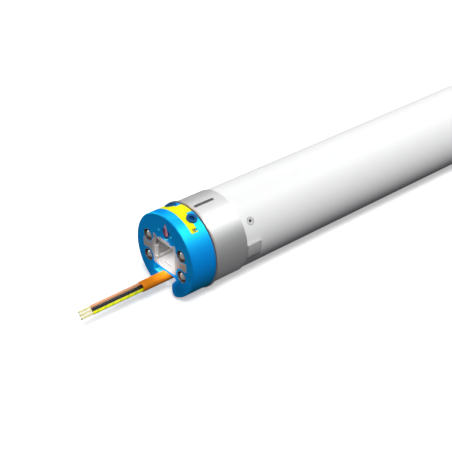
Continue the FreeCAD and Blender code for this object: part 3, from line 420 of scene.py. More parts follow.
def wound(name, base, wire):
    """Enamelled wire, turns side by side."""
    material, tree, shader = principled(name, 0.28, metallic=0.85, coat=0.5)
    turns = place(tree, "ShaderNodeTexWave", Scale=1.0 / (wire * 2 * math.pi), Distortion=0.4)
    turns.bands_direction = "DIAGONAL"
    tree.links.new(object_point(tree), turns.inputs["Vector"])
    tree.links.new(mix_colours(tree, turns.outputs["Fac"], [c * 0.5 for c in base], base),
                   shader.inputs["Base Color"])
    bump = bump_node(tree, turns.outputs["Fac"], 0.7, 0.0003)
    tree.links.new(bump.outputs[0], shader.inputs["Normal"])
    return material


def striped(name, base, stripe, centre, pitch, share):
    """Insulation with a stripe that winds round the core."""
    material, tree, shader = principled(name, 0.38, specular=0.4, tint=(1.0, 1.0, 0.4))
    axes = object_axes(tree)
    across = math_node(tree, "SUBTRACT", axes["Y"], centre[1])
    height = math_node(tree, "SUBTRACT", axes["Z"], centre[2])
    bearing = math_node(tree, "ARCTAN2", height, across)
    turn = math_node(tree, "DIVIDE", bearing, 2 * math.pi)
    along = math_node(tree, "DIVIDE", axes["X"], pitch)
    phase = math_node(tree, "FRACT", math_node(tree, "ADD", along, turn))
    mask = math_node(tree, "LESS_THAN", phase, share)
    tree.links.new(mix_colours(tree, mask, base, stripe), shader.inputs["Base Color"])
    skin = use_group(tree, "surface_skin", skin_group, Grain_size=0.0003, Grain_depth=0.1)
    tree.links.new(skin.outputs["Normal"], shader.inputs["Normal"])
    return material


# Where the button's painted shade (across Y) and painted highlight (up Z) begin, and how fast they
# blend in
BUTTON_SHADE_SPLIT_Y, BUTTON_HIGHLIGHT_SPLIT_Z = -0.0023, 0.0220
BUTTON_SHADE_BLEND_Y, BUTTON_HIGHLIGHT_BLEND_Z = 700.0, 400.0


def button_with_painted_light(name, base, shade, tip):
    """Plastic with painted shade on one side and a painted highlight at the narrow end."""
    material, tree, shader = principled(name, 0.3, specular=0.6, coat=0.4)
    axes = object_axes(tree)
    across = math_node(tree, "MULTIPLY_ADD", axes["Y"], BUTTON_SHADE_BLEND_Y,
                       0.5 - BUTTON_SHADE_SPLIT_Y * BUTTON_SHADE_BLEND_Y, clamp=True)
    up = math_node(tree, "MULTIPLY_ADD", axes["Z"], BUTTON_HIGHLIGHT_BLEND_Z,
                   0.5 - BUTTON_HIGHLIGHT_SPLIT_Z * BUTTON_HIGHLIGHT_BLEND_Z, clamp=True)
    # Painted shade on the +Y side, then a painted highlight towards the tip
    lit_and_shaded_sides = mix_colours(tree, across, base, shade)
    tree.links.new(mix_colours(tree, up, lit_and_shaded_sides, tip), shader.inputs["Base Color"])
    skin = use_group(tree, "surface_skin", skin_group, Grain_size=0.0004, Grain_depth=0.06,
                     Edge_radius=0.0003)
    tree.links.new(skin.outputs["Normal"], shader.inputs["Normal"])
    return material


# Finish of each node, made from its material's name and the scene's colours

GLOW = (0.03, 0.95, 1.0)

FINISHES = {
    "head": lambda n, c: skinned(n, c.head, 0.52, specular=1.0, tint=GLOW, ior=2.6, depth=0.06,
                                 drift=0.03),
    "adjuster": lambda n, c: skinned(n, c.adjuster, 0.42, specular=0.6, tint=(0.2, 0.6, 1.0),
                                     depth=0.10),
    "cover": lambda n, c: skinned(n, c.cover, 0.55, specular=0.15, tint=(1.0, 1.0, 0.3),
                                  depth=0.10, drift=0.03),
    "button": lambda n, c: button_with_painted_light(n, c.button, c.button_painted_shade, c.button_tip_highlight),
    # The surround's dark blue is painted shade
    "surround": lambda n, c: skinned(n, c.surround, 0.42, depth=0.08, wear_and_highlight=0.1),
    "painted_glint": lambda n, c: skinned(n, c.painted_glint, 0.4, depth=0.05, wear_and_highlight=0.1),
    "joint": lambda n, c: skinned(n, c.joint, 0.5, depth=0.1, wear_and_highlight=0.1),
    "groove": lambda n, c: skinned(n, c.groove, 0.6, depth=0.3, wear_and_highlight=0.1),
    "key": lambda n, c: skinned(n, c.key, 0.45, depth=0.08, wear_and_highlight=0.4),
    "pocket_shade": lambda n, c: skinned(n, c.pocket_shade, 0.5, depth=0.1, wear_and_highlight=0.1),
    # Painted highlight: the plate's strongly lighter edges stand in for light on its chamfers
    "plate": lambda n, c: skinned(n, c.plate, 0.40, metallic=0.12, grain=0.0006, depth=0.2,
                                  edge=0.0005, wear_and_highlight=1.0, wear_and_highlight_tone=2.1),
    "cap": lambda n, c: skinned(n, c.plate, 0.40, metallic=0.25, grain=0.0006, depth=0.35,
                                edge=0.0003, wear_and_highlight=0.8),
    "washer": lambda n, c: skinned(n, c.washer, 0.42, metallic=0.4, depth=0.1),
    "crown": lambda n, c: skinned(n, c.crown, 0.60, metallic=0.97, grain=0.0007, depth=0.08,
                                  edge=0.0002, drift=0.02, rough_drift=0.05),
    "tube": lambda n, c: skinned(n, c.tube, 0.45, specular=0.2, grain=0.0011, depth=0.05,
                                 drift=0.012, wear_and_highlight=0.1, wear_and_highlight_tone=0.9, rough_drift=0.05),
    "screw": lambda n, c: turned_metal(n, (0.92, 0.92, 0.92), 0.26, pitch=0.0004, depth=0.1,
                                       metallic=0.5),
    # The cups' dark brown is partly painted shade on the counterbores' walls
    "cup": lambda n, c: skinned(n, (0.20, 0.15, 0.12), 0.36, metallic=0.6, depth=0.1,
                                grain=0.0003),
    "rivet": lambda n, c: skinned(n, (0.80, 0.80, 0.80), 0.35, metallic=0.2, depth=0.1),
    "black": lambda n, c: skinned(n, (0.035, 0.036, 0.04), 0.45, depth=0.3),
    "switch": lambda n, c: skinned(n, (0.11, 0.11, 0.12), 0.4),
    "nylon": lambda n, c: skinned(n, (0.84, 0.80, 0.68), 0.38, depth=0.08),
    "steel": lambda n, c: turned_metal(n, (0.62, 0.62, 0.63), 0.30, metallic=0.6),
    "bronze": lambda n, c: skinned(n, (0.60, 0.40, 0.17), 0.42, metallic=0.9, grain=0.0003,
                                   depth=0.5),
    "can": lambda n, c: turned_metal(n, (0.74, 0.75, 0.77), 0.30, pitch=0.0008, depth=0.08),
    "sheet": lambda n, c: laminated(n, (0.34, 0.34, 0.36), 0.0008),
    "copper": lambda n, c: wound(n, (0.80, 0.34, 0.12), 0.0006),
    "lining": lambda n, c: skinned(n, (0.09, 0.075, 0.06), 0.75, depth=0.8, grain=0.0009),
}


def by_kind(**kinds):
    """Finish of each node, from the nodes of each finish."""
    return {node: kind for kind, nodes in kinds.items() for node in nodes.split()}


HEAD_NODES = by_kind(head="head_housing", plate="head_plate", cover="limit_cover",
                     adjuster="limit_adjuster_near limit_adjuster_far", button="setting_button",
                     switch="setting_switch", black="cable_gland")
TUBE_NODES = by_kind(washer="crown_washer", crown="crown", tube="motor_tube", rivet="tube_screws",
                     cap="end_cap", steel="output_shaft output_circlip", bronze="output_bush")
INNER_NODES = by_kind(
    black="limit_housing limit_end_plate terminal_block capacitor_holder",
    nylon="switch_carriage_near switch_carriage_far limit_nut_near limit_nut_far "
          "planet_1_1 planet_1_2 planet_1_3",
    switch="limit_switch_near limit_switch_far",
    steel="limit_spindle_near limit_spindle_far guide_rods rotor_shaft brake_armature brake_yoke "
          "brake_spring ring_gear carrier_1 carrier_2 carrier_3 "
          "planet_2_1 planet_2_2 planet_2_3 planet_3_1 planet_3_2 planet_3_3",
    can="capacitor", cap="motor_shields", bronze="motor_bushes", sheet="stator_core rotor_core",
    copper="stator_winding brake_coil", lining="brake_disc")


def finish_of(kind):
    """Material of one kind, made once."""
    name = "finish_" + kind
    made = bpy.data.materials.get(name)
    return made or FINISHES[kind](name, bpy.context.scene.motor_colours)


def dress(nodes):
    """Give CAD nodes their finishes."""
    for name, kind in nodes.items():
        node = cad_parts[name]
        node.data.materials.clear()
        node.data.materials.append(finish_of(kind))


class MOTOR_OT_dress_head(bpy.types.Operator):
    """Give the head's nodes their finishes"""
    bl_idname = "motor.dress_head"
    bl_label = "Dress the head"

    def execute(self, context):
        dress(HEAD_NODES)
        return {"FINISHED"}


class MOTOR_OT_dress_tube(bpy.types.Operator):
    """Give the crown, tube and output nodes their finishes"""
    bl_idname = "motor.dress_tube"
    bl_label = "Dress the tube"

    def execute(self, context):
        dress(TUBE_NODES)
        return {"FINISHED"}


class MOTOR_OT_dress_inside(bpy.types.Operator):
    """Give the nodes inside the tube their finishes"""
    bl_idname = "motor.dress_inside"
    bl_label = "Dress the inside"

    def execute(self, context):
        dress(INNER_NODES)
        return {"FINISHED"}


# Cable

CABLE_Z = -0.0161
JACKET_ROUTE = [(0.030, 0, CABLE_Z), (0.012, 0, CABLE_Z), (-0.004, 0, CABLE_Z),
                (-0.0202, 0, CABLE_Z)]
CORE_FRONT = -0.0592
BARE_FRONT = -0.068
CORE_GAP = 0.0004            # between a core's rear end and the bottom of the jacket's mouth
CORE_STRAIGHT = 0.013
CORE_BEND_X = -0.046
CORE_PITCH = 0.00215
CORE_BEARING = math.radians(130)
STRIPE_PITCH, STRIPE_SHARE = 0.0060, 0.22
STRAND_START = 0.001         # how far the strands go back inside the insulation
STRAND_TURNS = 1.2
STRAND_SLICES = 22


def core_centre(index, x):
    """Middle of a core at x: -1 striped, 0 black, 1 brown."""
    reach = CORE_PITCH * index
    return Vector((x, -reach * math.cos(CORE_BEARING), CABLE_Z + reach * math.sin(CORE_BEARING)))


def jacket_mesh(sizes):
    """Jacket along its route, with a hollow mouth where the cores come out."""
    line = nurbs_points("jacket_route", JACKET_ROUTE)
    outer = sizes.jacket_diameter / 2
    inner = outer - sizes.jacket_wall
    steps = 48
    rings = []
    for point, (across, up) in zip(line, frames_along(line)):
        rings.append(ring(point, outer, steps, across, up))
    tip = line[-1]
    rim = 0.00018
    across, up = frames_along(line)[-1]
    rings[-1] = ring(tip + Vector((rim, 0, 0)), outer, steps, across, up)
    for x, radius in ((0.0, outer - rim), (0.0, inner + rim), (rim, inner),
                      (sizes.mouth_depth, inner)):
        rings.append(ring(tip + Vector((x, 0, 0)), radius, steps, across, up))
    return skin_mesh("cable_jacket_piece", rings), line


def core_route(index, start):
    """Route of one core, out of the jacket's mouth to its bare end."""
    return [core_centre(index, x) for x in (start, start - CORE_STRAIGHT, CORE_BEND_X,
                                           CORE_FRONT)]


def core_mesh(name, index, start, sizes):
    """Insulation with a cut front edge."""
    line = nurbs_points(name + "_route", core_route(index, start))
    radius = sizes.core_diameter / 2
    rings = [ring(p, radius, 24, a, u) for p, (a, u) in zip(line, frames_along(line))]
    rim = 0.00015
    tip = line[-1]
    across, up = frames_along(line)[-1]
    rings[-1] = ring(tip + Vector((rim, 0, 0)), radius, 24, across, up)
    rings.append(ring(tip, radius - rim, 24, across, up))
    return skin_mesh(name, rings), line


def strand_mesh(name, index, sizes):
    """Seven strands that twist round each other, out of one core's insulation."""
    strand = sizes.wire_diameter / 6
    reach = 2 * strand
    start = CORE_FRONT + STRAND_START
    bm = bmesh.new()
    for wire in range(7):
        rings = []
        for s in range(STRAND_SLICES + 1):
            share = s / STRAND_SLICES
            x = start + (BARE_FRONT - start) * share
            turn = 2 * math.pi * (wire / 6 + share * STRAND_TURNS)
            spread = reach if wire < 6 else 0.0
            centre = core_centre(index, x) + Vector((0, math.cos(turn), math.sin(turn))) * spread
            rings.append(ring(centre, strand, 10))
        end = rings[-1]
        middle = sum(end, Vector()) / len(end)
        rings.append([middle + (p - middle) * 0.5 + Vector((-strand * 0.4, 0, 0)) for p in end])
        rings[-2] = [p + Vector((strand * 0.3, 0, 0)) for p in end]
        add_rings(bm, rings)
    return mesh_of(name, bm)


class MOTOR_OT_add_cable(bpy.types.Operator):
    """Add the cable: jacket, three cores and their bare ends"""
    bl_idname = "motor.add_cable"
    bl_label = "Add the cable"

    def execute(self, context):
        sizes, colours = context.scene.motor_sizes, context.scene.motor_colours
        mesh, line = jacket_mesh(sizes)
        rubber = skinned("finish_jacket", colours.jacket, 0.50, specular=0.9,
                         tint=(1.0, 0.75, 0.25), grain=0.0008, depth=0.12)
        jacket = piece("cable_jacket_piece", mesh, "motor", rubber)
        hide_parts("cable_jacket")
        start = JACKET_ROUTE[-1][0] + sizes.mouth_depth - CORE_GAP
        wire = skinned("finish_wire", colours.wire, 0.32, metallic=0.55, depth=0.1)
        finishes = {
            -1: striped("finish_striped_core", colours.yellow, colours.stripe,
                        core_centre(-1, 0), STRIPE_PITCH, STRIPE_SHARE),
            0: skinned("finish_black_core", colours.black, 0.42, specular=0.25, depth=0.1),
            1: skinned("finish_brown_core", colours.brown, 0.36, depth=0.1),
        }
        for index, core, slot in ((-1, "core_striped", "core_striped_pvc"),
                                  (0, "core_black", "core_black_pvc"),
                                  (1, "core_brown", "core_brown_pvc")):
            mesh, line = core_mesh(core + "_piece", index, start, sizes)
            insulation = piece(core + "_piece", mesh, "motor", finishes[index])
            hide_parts(core)
            end = piece(core + "_end", strand_mesh(core + "_end", index, sizes), "motor",
                        wire)
            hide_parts("bare_ends")
        return {"FINISHED"}


# Setting button's surround, a panel of painted shade

BUTTON_MIDDLE = (-0.0024, 0.0183)
BUTTON_TIP = (-0.0018, 0.0240)
BUTTON_RADII = (0.0021, 0.0006)
BUTTON_GAP = 0.0003
PANEL_WALL = 0.0004
PANEL_BACK, PANEL_EDGE, PANEL_FRONT = 0.00002, -0.00006, -0.0001
PANEL_BEVEL = 0.0001
LOBES, LOBE_RADIUS, LOBE_RISE, LOBE_TURN = 3, 0.0035, 0.0007, math.radians(35)
REACH_STEPS, REACH_STEP = 500, 0.00002


def button_reach(angle, gap):
    """Distance from the button's middle to its outline, with a gap, in one direction."""
    along = Vector(BUTTON_TIP) - Vector(BUTTON_MIDDLE)
    reach = 0.0
    for step in range(REACH_STEPS):
        r = step * REACH_STEP
        point = Vector((math.cos(angle), math.sin(angle))) * r
        share = min(1.0, max(0.0, point.dot(along) / along.length_squared))
        radius = BUTTON_RADII[0] + (BUTTON_RADII[1] - BUTTON_RADII[0]) * share + gap
        if (point - along * share).length <= radius:
            reach = r
    return reach


def surround_mesh(name):
    """Thin dark panel of painted shade with three lobes, open round the button."""
    steps = 96
    y, z = BUTTON_MIDDLE

    def outline(x, reach_at):
        points = []
        for i in range(steps):
            a = 2 * math.pi * i / steps
            r = reach_at(a)
            points.append(Vector((x, y + r * math.cos(a), z + r * math.sin(a))))
        return points

    def outer(a):
        lobe = LOBE_RADIUS + LOBE_RISE * math.cos(LOBES * (a - LOBE_TURN))
        return max(lobe, inner(a) + PANEL_WALL)

    def inner(a):
        return button_reach(a, BUTTON_GAP)

    return skin_mesh(name, [outline(PANEL_BACK, outer), outline(PANEL_EDGE, outer),
                            outline(PANEL_FRONT, lambda a: outer(a) - PANEL_BEVEL),
                            outline(PANEL_FRONT, inner), outline(PANEL_BACK, inner)],
                     closed=True)


# Places on the face: the ledge's span in x and y, its z and the pad's thickness; the round pits' y
# and z; the curved pit's middle, two radii and two ends; the slit's x, half width, ends, z and rise
LEDGE = ((0.0002, 0.0168), (0.0044, 0.0119), -0.0172, 0.0001)
LEDGE_GROOVE = 0.0002
PIT_PLACES = ((0.0054, 0.0181), (-0.0073, 0.0181))
PIT_RADIUS = 0.00115
PIT_TOP, PIT_FOOT = 0.0012, 0.0002
PIT_GAP = 0.00003
PIT_FLOOR = 0.0001
ARC = (-0.0009, 0.0189, 0.0049, 0.0061, math.radians(262), math.radians(312))
ARC_GAP = 0.01
SLIT = (0.00405, 0.00034, -0.00188, 0.00618, -0.00999, 0.00036)


def slit_mesh(name):
    """Dark strip of painted shade along the bottom of the slit in the socket's floor, low in its
    middle.
    """
    x, half, y0, y1, z, high = SLIT
    across = [(x - half, z), (x - half, z + high), (x, z + high * 0.6), (x + half, z + high),
              (x + half, z)]
    return skin_mesh(name, [[Vector((px, y, pz)) for px, pz in across] for y in (y0, y1)],
                     smooth=False)


def ledge_mesh(name):
    """Thin pad of painted highlight on the ledge beside the cable, with a fine groove down its
    middle.
    """
    (x0, x1), (y0, y1), z, thick = LEDGE
    middle = (y0 + y1) / 2
    across = [(y0, 0.0), (y0, thick), (middle - LEDGE_GROOVE, thick), (middle, thick / 2),
              (middle + LEDGE_GROOVE, thick), (y1, thick), (y1, 0.0)]
    return skin_mesh(name, [[Vector((x, y, z + lift)) for y, lift in across] for x in (x0, x1)],
                     smooth=False)


def pit_floor_meshes():
    """Floors of the two round pits and of the curved one, low at the top and high at the foot, with
    a painted highlight.
    """
    meshes = []
    back = Vector((PIT_FLOOR, 0, 0))
    radius = PIT_RADIUS - PIT_GAP
    for i, (y, z) in enumerate(PIT_PLACES):
        front = [Vector((PIT_FOOT + (PIT_TOP - PIT_FOOT) * (p.z - z + radius) / (2 * radius),
                         p.y, p.z)) for p in ring((0, y, z), radius, 32)]
        meshes.append(skin_mesh("pit_floor_%d" % (i + 1), [front, [p + back for p in front]],
                                smooth=False))
    y, z, inner, outer, start, end = ARC
    steps = 16
    rows = []
    for i in range(steps + 1):
        turn = start + ARC_GAP + (end - start - 2 * ARC_GAP) * i / steps
        edge = [Vector((x, y - r * math.cos(turn), z + r * math.sin(turn)))
                for x, r in ((PIT_TOP, inner + PIT_GAP), (PIT_FOOT, outer - PIT_GAP))]
        rows.append(edge + [p + back for p in reversed(edge)])
    meshes.append(skin_mesh("pit_floor_3", rows, smooth=False))
    return meshes


class MOTOR_OT_add_button_surround(bpy.types.Operator):
    """Add the dark panel of painted shade round the setting button, and the floors of its pits and
    the ledge's pad, which are painted highlights
    """
    bl_idname = "motor.add_button_surround"
    bl_label = "Add the button's surround"

    def execute(self, context):
        panel = piece("button_surround", surround_mesh("button_surround"), "motor",
                      finish_of("surround"))
        shade_by_angle(panel.data, 40)
        # The slit's dark strip is painted shade
        slit = slit_mesh("socket_slit_floor")
        piece(slit.name, slit, "motor", finish_of("groove"))
        # Pit floors and the ledge's pad: painted highlights
        for mesh in pit_floor_meshes() + [ledge_mesh("ledge_pad")]:
            piece(mesh.name, mesh, "motor", finish_of("painted_glint"))
        return {"FINISHED"}


# Thin pieces on the round surfaces

PLATE_SINK = 0.00001         # how far a plate's back goes into what carries it
NARROWEST = 0.00002          # half width that a rounded strip keeps at its ends


def on_cylinder(x, turn, radius):
    """Point at x on a cylinder round the motor's axis; turn is measured from -Y up towards +Z."""
    return Vector((x, -radius * math.cos(turn), radius * math.sin(turn)))


def curved_plate(name, outline, inner, outer, rows=12):
    """Plate that follows the cylinder between two edges, given as pairs of points along x."""
    rings = []
    for (x0, a0), (x1, a1) in outline:
        spots = [(x0 + (x1 - x0) * i / rows, a0 + (a1 - a0) * i / rows) for i in range(rows + 1)]
        rings.append([on_cylinder(x, a, outer) for x, a in spots]
                     + [on_cylinder(x, a, inner) for x, a in reversed(spots)])
    return skin_mesh(name, rings)


def stadium(start, end, half, turn, radius, steps=10):
    """Outline of a strip with round ends along X."""
    rows = []
    for i in range(steps + 1):
        a = math.pi / 2 * i / steps
        rows.append((start + half * (1 - math.cos(a)), half * math.sin(a)))
    rows += [(end - (x - start), w) for x, w in reversed(rows)]
    rows = [(x, max(w, NARROWEST)) for x, w in rows]
    return [((x, turn - w / radius), (x, turn + w / radius)) for x, w in rows]


def plate_piece(name, rows, radius, thick, body, kind):
    """Thin plate on a round surface, as a piece that rides on a body."""
    mesh = curved_plate(name, rows, radius - PLATE_SINK, radius + thick)
    return piece(name, mesh, body, finish_of(kind))


SLOT_GAP, SLOT_HALF = 0.0001, 0.00118
KEY_INSET = 0.0003
CROWN_SLOT = (0.0231, 0.0397, math.radians(84.5), 0.02865)
CROWN_KEY = (0.04675, 0.05885, math.radians(-4.5), math.radians(19.0), 0.0304)
WINDOW = (0.0110, 0.0012, 0.0292)
WINDOW_GAP = 0.00004
WINDOW_TURNS = (math.radians(53), math.radians(127))


class MOTOR_OT_add_crown_trim(bpy.types.Operator):
    """Add the face of the crown's drive key and the bottom of its slot, which is dark with painted
    shade
    """
    bl_idname = "motor.add_crown_trim"
    bl_label = "Add the crown's trim"

    def execute(self, context):
        start, end, turn, radius = CROWN_SLOT
        rows = stadium(start + SLOT_GAP, end - SLOT_GAP, SLOT_HALF, turn, radius)
        # The slot's dark bottom is painted shade
        plate_piece("crown_slot_bottom", rows, radius, 0.00015, "crown", "groove")
        start, end, turn, width, radius = CROWN_KEY
        half = width / 2 - KEY_INSET / radius
        rows = [((x, turn - half), (x, turn + half))
                for x in (start + KEY_INSET, (start + end) / 2, end - KEY_INSET)]
        face = plate_piece("crown_key_face", rows, radius, 0.0001, "crown", "key")
        shade_by_angle(face.data, 40)
        return {"FINISHED"}


class MOTOR_OT_add_window_floors(bpy.types.Operator):
    """Add the floors of the cover's two windows, which are dark with painted shade"""
    bl_idname = "motor.add_window_floors"
    bl_label = "Add the window floors"

    def execute(self, context):
        middle, half, radius = WINDOW
        half -= WINDOW_GAP
        for i, turn in enumerate(WINDOW_TURNS):
            rows = [((x, turn - half / radius), (x, turn + half / radius))
                    for x in (middle - half, middle, middle + half)]
            plate_piece("window_floor_%d" % (i + 1), rows, radius, 0.0001, "motor",
                        "pocket_shade")
        return {"FINISHED"}


RIVET_X = (0.054, 0.4675)
RIVET_TURNS = tuple(math.radians(34.3 + 120 * i) for i in range(3))
RIVET_RADIUS = 0.0026
RIM_RADII = (RIVET_RADIUS - 0.0001, RIVET_RADIUS + 0.0002)
RIM_LIFTS = (-0.00002, 0.00003)
RIVET_SOCKET = 0.00102        # from the tube's surface down to the socket's bottom
HEX_OUTER, HEX_INNER = 0.00118, 0.0009
TUBE_RADIUS = 0.029


def rivet_rim_mesh(name, x, turn):
    """Dark joint round one of the tube's screws, on the tube's surface."""
    steps = 40
    (inner, outer), (low, high) = RIM_RADII, RIM_LIFTS
    rings = []
    for r, lift in ((inner, low), (outer, low), (outer, high), (inner, high)):
        rings.append([on_cylinder(x + r * math.cos(2 * math.pi * i / steps),
                                  turn + r * math.sin(2 * math.pi * i / steps) / TUBE_RADIUS,
                                  TUBE_RADIUS + lift) for i in range(steps)])
    return skin_mesh(name, rings, closed=True)


def rivet_socket_mesh(name, x, turn):
    """Six-sided bottom of one screw's socket, dark with painted shade."""
    base = TUBE_RADIUS - RIVET_SOCKET
    across = Vector((0, math.sin(turn), math.cos(turn)))
    out = Vector((0, -math.cos(turn), math.sin(turn)))
    rings = []
    for lift, r in ((0.0, HEX_OUTER), (0.0003, HEX_OUTER), (0.0003, HEX_INNER),
                    (0.0001, HEX_INNER)):
        rings.append([Vector((x, 0, 0)) + out * (base + lift)
                      + Vector((1, 0, 0)) * r * math.cos(math.pi * i / 3)
                      + across * r * math.sin(math.pi * i / 3) for i in range(6)])
    return skin_mesh(name, rings, smooth=False)


class MOTOR_OT_add_tube_screw_details(bpy.types.Operator):
    """Add the joint and the socket of each of the tube's screws, the socket's bottom dark with
    painted shade
    """
    bl_idname = "motor.add_tube_screw_details"
    bl_label = "Add the tube screws' details"

    def execute(self, context):
        places = [(x, turn) for x in RIVET_X for turn in RIVET_TURNS]
        for i, (x, turn) in enumerate(places):
            rim, bottom = "tube_screw_rim_%d" % (i + 1), "tube_screw_socket_%d" % (i + 1)
            # The socket's dark bottom is painted shade
            piece(rim, rivet_rim_mesh(rim, x, turn), "motor", finish_of("joint"))
            piece(bottom, rivet_socket_mesh(bottom, x, turn), "motor",
                  finish_of("groove"))
        return {"FINISHED"}


# Head screws

SCREW_PLACES = [(y, z) for y in (-0.0176, 0.0176) for z in (-0.0079, 0.0079)]
SCREW_TURNS = (20, 65, 38, 5)
SCREW_SEAT = 0.0026
SCREW_TOP = 0.0001
CROSS_ARM = 0.0013
CROSS_WIDTH = 0.0005
CUP_RADIUS = 0.00428
CUP_WALL = 0.0004


def screw_mesh(name, y, z, sizes, turn):
    """Round-head screw, its head towards -X, on a shank that goes into the head's web."""
    steps = 48
    radius = sizes.screw_radius
    outline = [(0.0252, 0.0001), (0.0252, 0.0013), (0.0246, 0.0019), (SCREW_SEAT, 0.0019),
               (SCREW_SEAT, radius * 0.94), (SCREW_SEAT - 0.0002, radius)]
    rise = SCREW_SEAT - 0.0003 - SCREW_TOP
    for i in range(11):
        a = math.radians(9 * i)
        outline.append((SCREW_SEAT - 0.0003 - rise * math.sin(a), radius * math.cos(a * 0.95)))
    return skin_mesh(name, [ring((x, y, z), r, steps, turn=turn) for x, r in outline])


def cross_mesh(name, y, z, turn):
    """Cutter for the cross recess."""
    a, w = CROSS_ARM, CROSS_WIDTH / 2
    arms = [(w, w), (w, a), (-w, a), (-w, w), (-a, w), (-a, -w), (-w, -w), (-w, -a), (w, -a),
            (w, -w), (a, -w), (a, w)]
    c, s = math.cos(turn), math.sin(turn)

    def outline(x, shrink):
        return [Vector((x, y + (p * c - q * s) * shrink, z + (p * s + q * c) * shrink))
                for p, q in arms]

    return skin_mesh(name, [outline(-0.002, 1.25), outline(SCREW_TOP + 0.0016, 0.45)],
                     smooth=False)


def cup_mesh(name, y, z):
    """Pressed cup that lines a counterbore, with a rolled front rim and a flat floor; its dark
    brown also stands in for painted shade on the counterbore's walls.
    """
    inner = CUP_RADIUS - CUP_WALL
    shank = 0.0021
    outline = [(SCREW_SEAT - 0.00002, shank), (SCREW_SEAT - 0.00002, CUP_RADIUS - 0.0003),
               (SCREW_SEAT - 0.0003, CUP_RADIUS), (0.0002, CUP_RADIUS)]
    for i in range(5):
        a = math.pi * i / 4
        outline.append((0.00015 - CUP_WALL / 2 * math.sin(a),
                        CUP_RADIUS - CUP_WALL / 2 * (1 - math.cos(a))))
    outline += [(SCREW_SEAT - 0.0006, inner), (SCREW_SEAT - 0.0003, inner - 0.0004),
                (SCREW_SEAT - 0.0003, shank)]
    return skin_mesh(name, [ring((x, y, z), r, 48) for x, r in outline], closed=True)


class MOTOR_OT_add_head_screws(bpy.types.Operator):
    """Add the four screws of the head, each in its cup"""
    bl_idname = "motor.add_head_screws"
    bl_label = "Add the head screws"

    def execute(self, context):
        sizes = context.scene.motor_sizes
        for i, (y, z) in enumerate(SCREW_PLACES):
            turn = math.radians(SCREW_TURNS[i])
            name = "head_screw_%d" % (i + 1)
            screw = piece(name, screw_mesh(name, y, z, sizes, turn), "motor",
                          finish_of("screw"))
            cutter = bpy.data.objects.new("recess", cross_mesh("recess", y, z, turn))
            context.scene.collection.objects.link(cutter)
            cut = screw.modifiers.new("recess", "BOOLEAN")
            cut.object = cutter
            cut.solver = "EXACT"
            graph = context.evaluated_depsgraph_get()
            cut_mesh = bpy.data.meshes.new_from_object(screw.evaluated_get(graph))
            screw.modifiers.clear()
            screw.data = cut_mesh
            bpy.data.objects.remove(cutter)
            shade_by_angle(screw.data, 35)
            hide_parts("head_screws")
            cup = piece("screw_cup_%d" % (i + 1), cup_mesh("screw_cup", y, z), "motor",
                        finish_of("cup"))
            shade_by_angle(cup.data, 40)
        return {"FINISHED"}


# Stage

CAMERA_PLACE = (-0.35514, -0.47835, 0.39885)
CAMERA_RIGHT = Vector((0.7606, -0.6493, 0.0)).normalized()
CAMERA_AHEAD = Vector((0.5487, 0.6428, -0.5345)).normalized()
CAMERA_LENS = 86.71
FLOOR_Z = -0.0311
FLOOR_GLOW = 0.45            # light of the floor itself, which keeps the shadow from going dark
GLOSSY_SHARE = 0.05          # share of the white surroundings that glossy rays see
SKY_STRENGTH = 0.05          # light that the surroundings throw on the object
SPOT_BLEND, SPOT_SOFTNESS = 0.5, 0.01

TUBE_FRONT = (0.12, 0, 0)

# Name, kind, direction from the target, distance, strength, size and target of each lamp
LAMPS = (
    ("key", "SUN", (-0.33, -0.50, 0.80), 3.0, 2.0, 0.3, TUBE_FRONT),
    ("rear", "AREA", (0.55, -0.30, 0.78), 3.0, 51, (1.0, 1.2), TUBE_FRONT),
    ("far", "AREA", (0.55, 0.54, 0.64), 3.0, 16, (1.0, 1.2), TUBE_FRONT),
    ("back", "SUN", (-0.30, 0.90, 0.20), 3.0, 1.2, 0.6, TUBE_FRONT),
    ("socket_snoot", "SPOT", (-0.72, -0.15, 0.68), 0.5, 52, math.radians(1.85),
     (0.0052, -0.0003, -0.0096)),
    ("notch_snoot", "SPOT", (-0.90, -0.10, 0.43), 0.5, 9, math.radians(1.0),
     (0.003, 0.0075, -0.0180)),
)


class MOTOR_OT_add_camera(bpy.types.Operator):
    """Add the camera at the photograph's viewing angle"""
    bl_idname = "motor.add_camera"
    bl_label = "Add the camera"

    def execute(self, context):
        data = bpy.data.cameras.new("camera")
        data.lens = CAMERA_LENS
        data.sensor_width = 36.0
        data.clip_start, data.clip_end = 0.01, 50.0
        camera = bpy.data.objects.new("camera", data)
        context.scene.collection.objects.link(camera)
        up = CAMERA_RIGHT.cross(CAMERA_AHEAD).normalized()
        axes = Matrix((CAMERA_RIGHT, up, -CAMERA_AHEAD)).transposed()
        camera.matrix_world = Matrix.Translation(CAMERA_PLACE) @ axes.to_4x4()
        context.scene.camera = camera
        return {"FINISHED"}


def add_lamp(name, kind, direction, distance, energy, size, target):
    """Lamp that shines on the object from a direction."""
    data = bpy.data.lights.new(name, kind)
    data.energy = energy
    if kind == "AREA":
        data.shape = "RECTANGLE"
        data.size, data.size_y = size
    elif kind == "SPOT":
        data.spot_size, data.spot_blend, data.shadow_soft_size = size, SPOT_BLEND, SPOT_SOFTNESS
    else:
        data.angle = size
    lamp = bpy.data.objects.new(name, data)
    bpy.context.scene.collection.objects.link(lamp)
    away = Vector(direction).normalized()
    lamp.location = Vector(target) + away * distance
    lamp.rotation_mode = "QUATERNION"
    lamp.rotation_quaternion = (-away).to_track_quat("-Z", "Y")


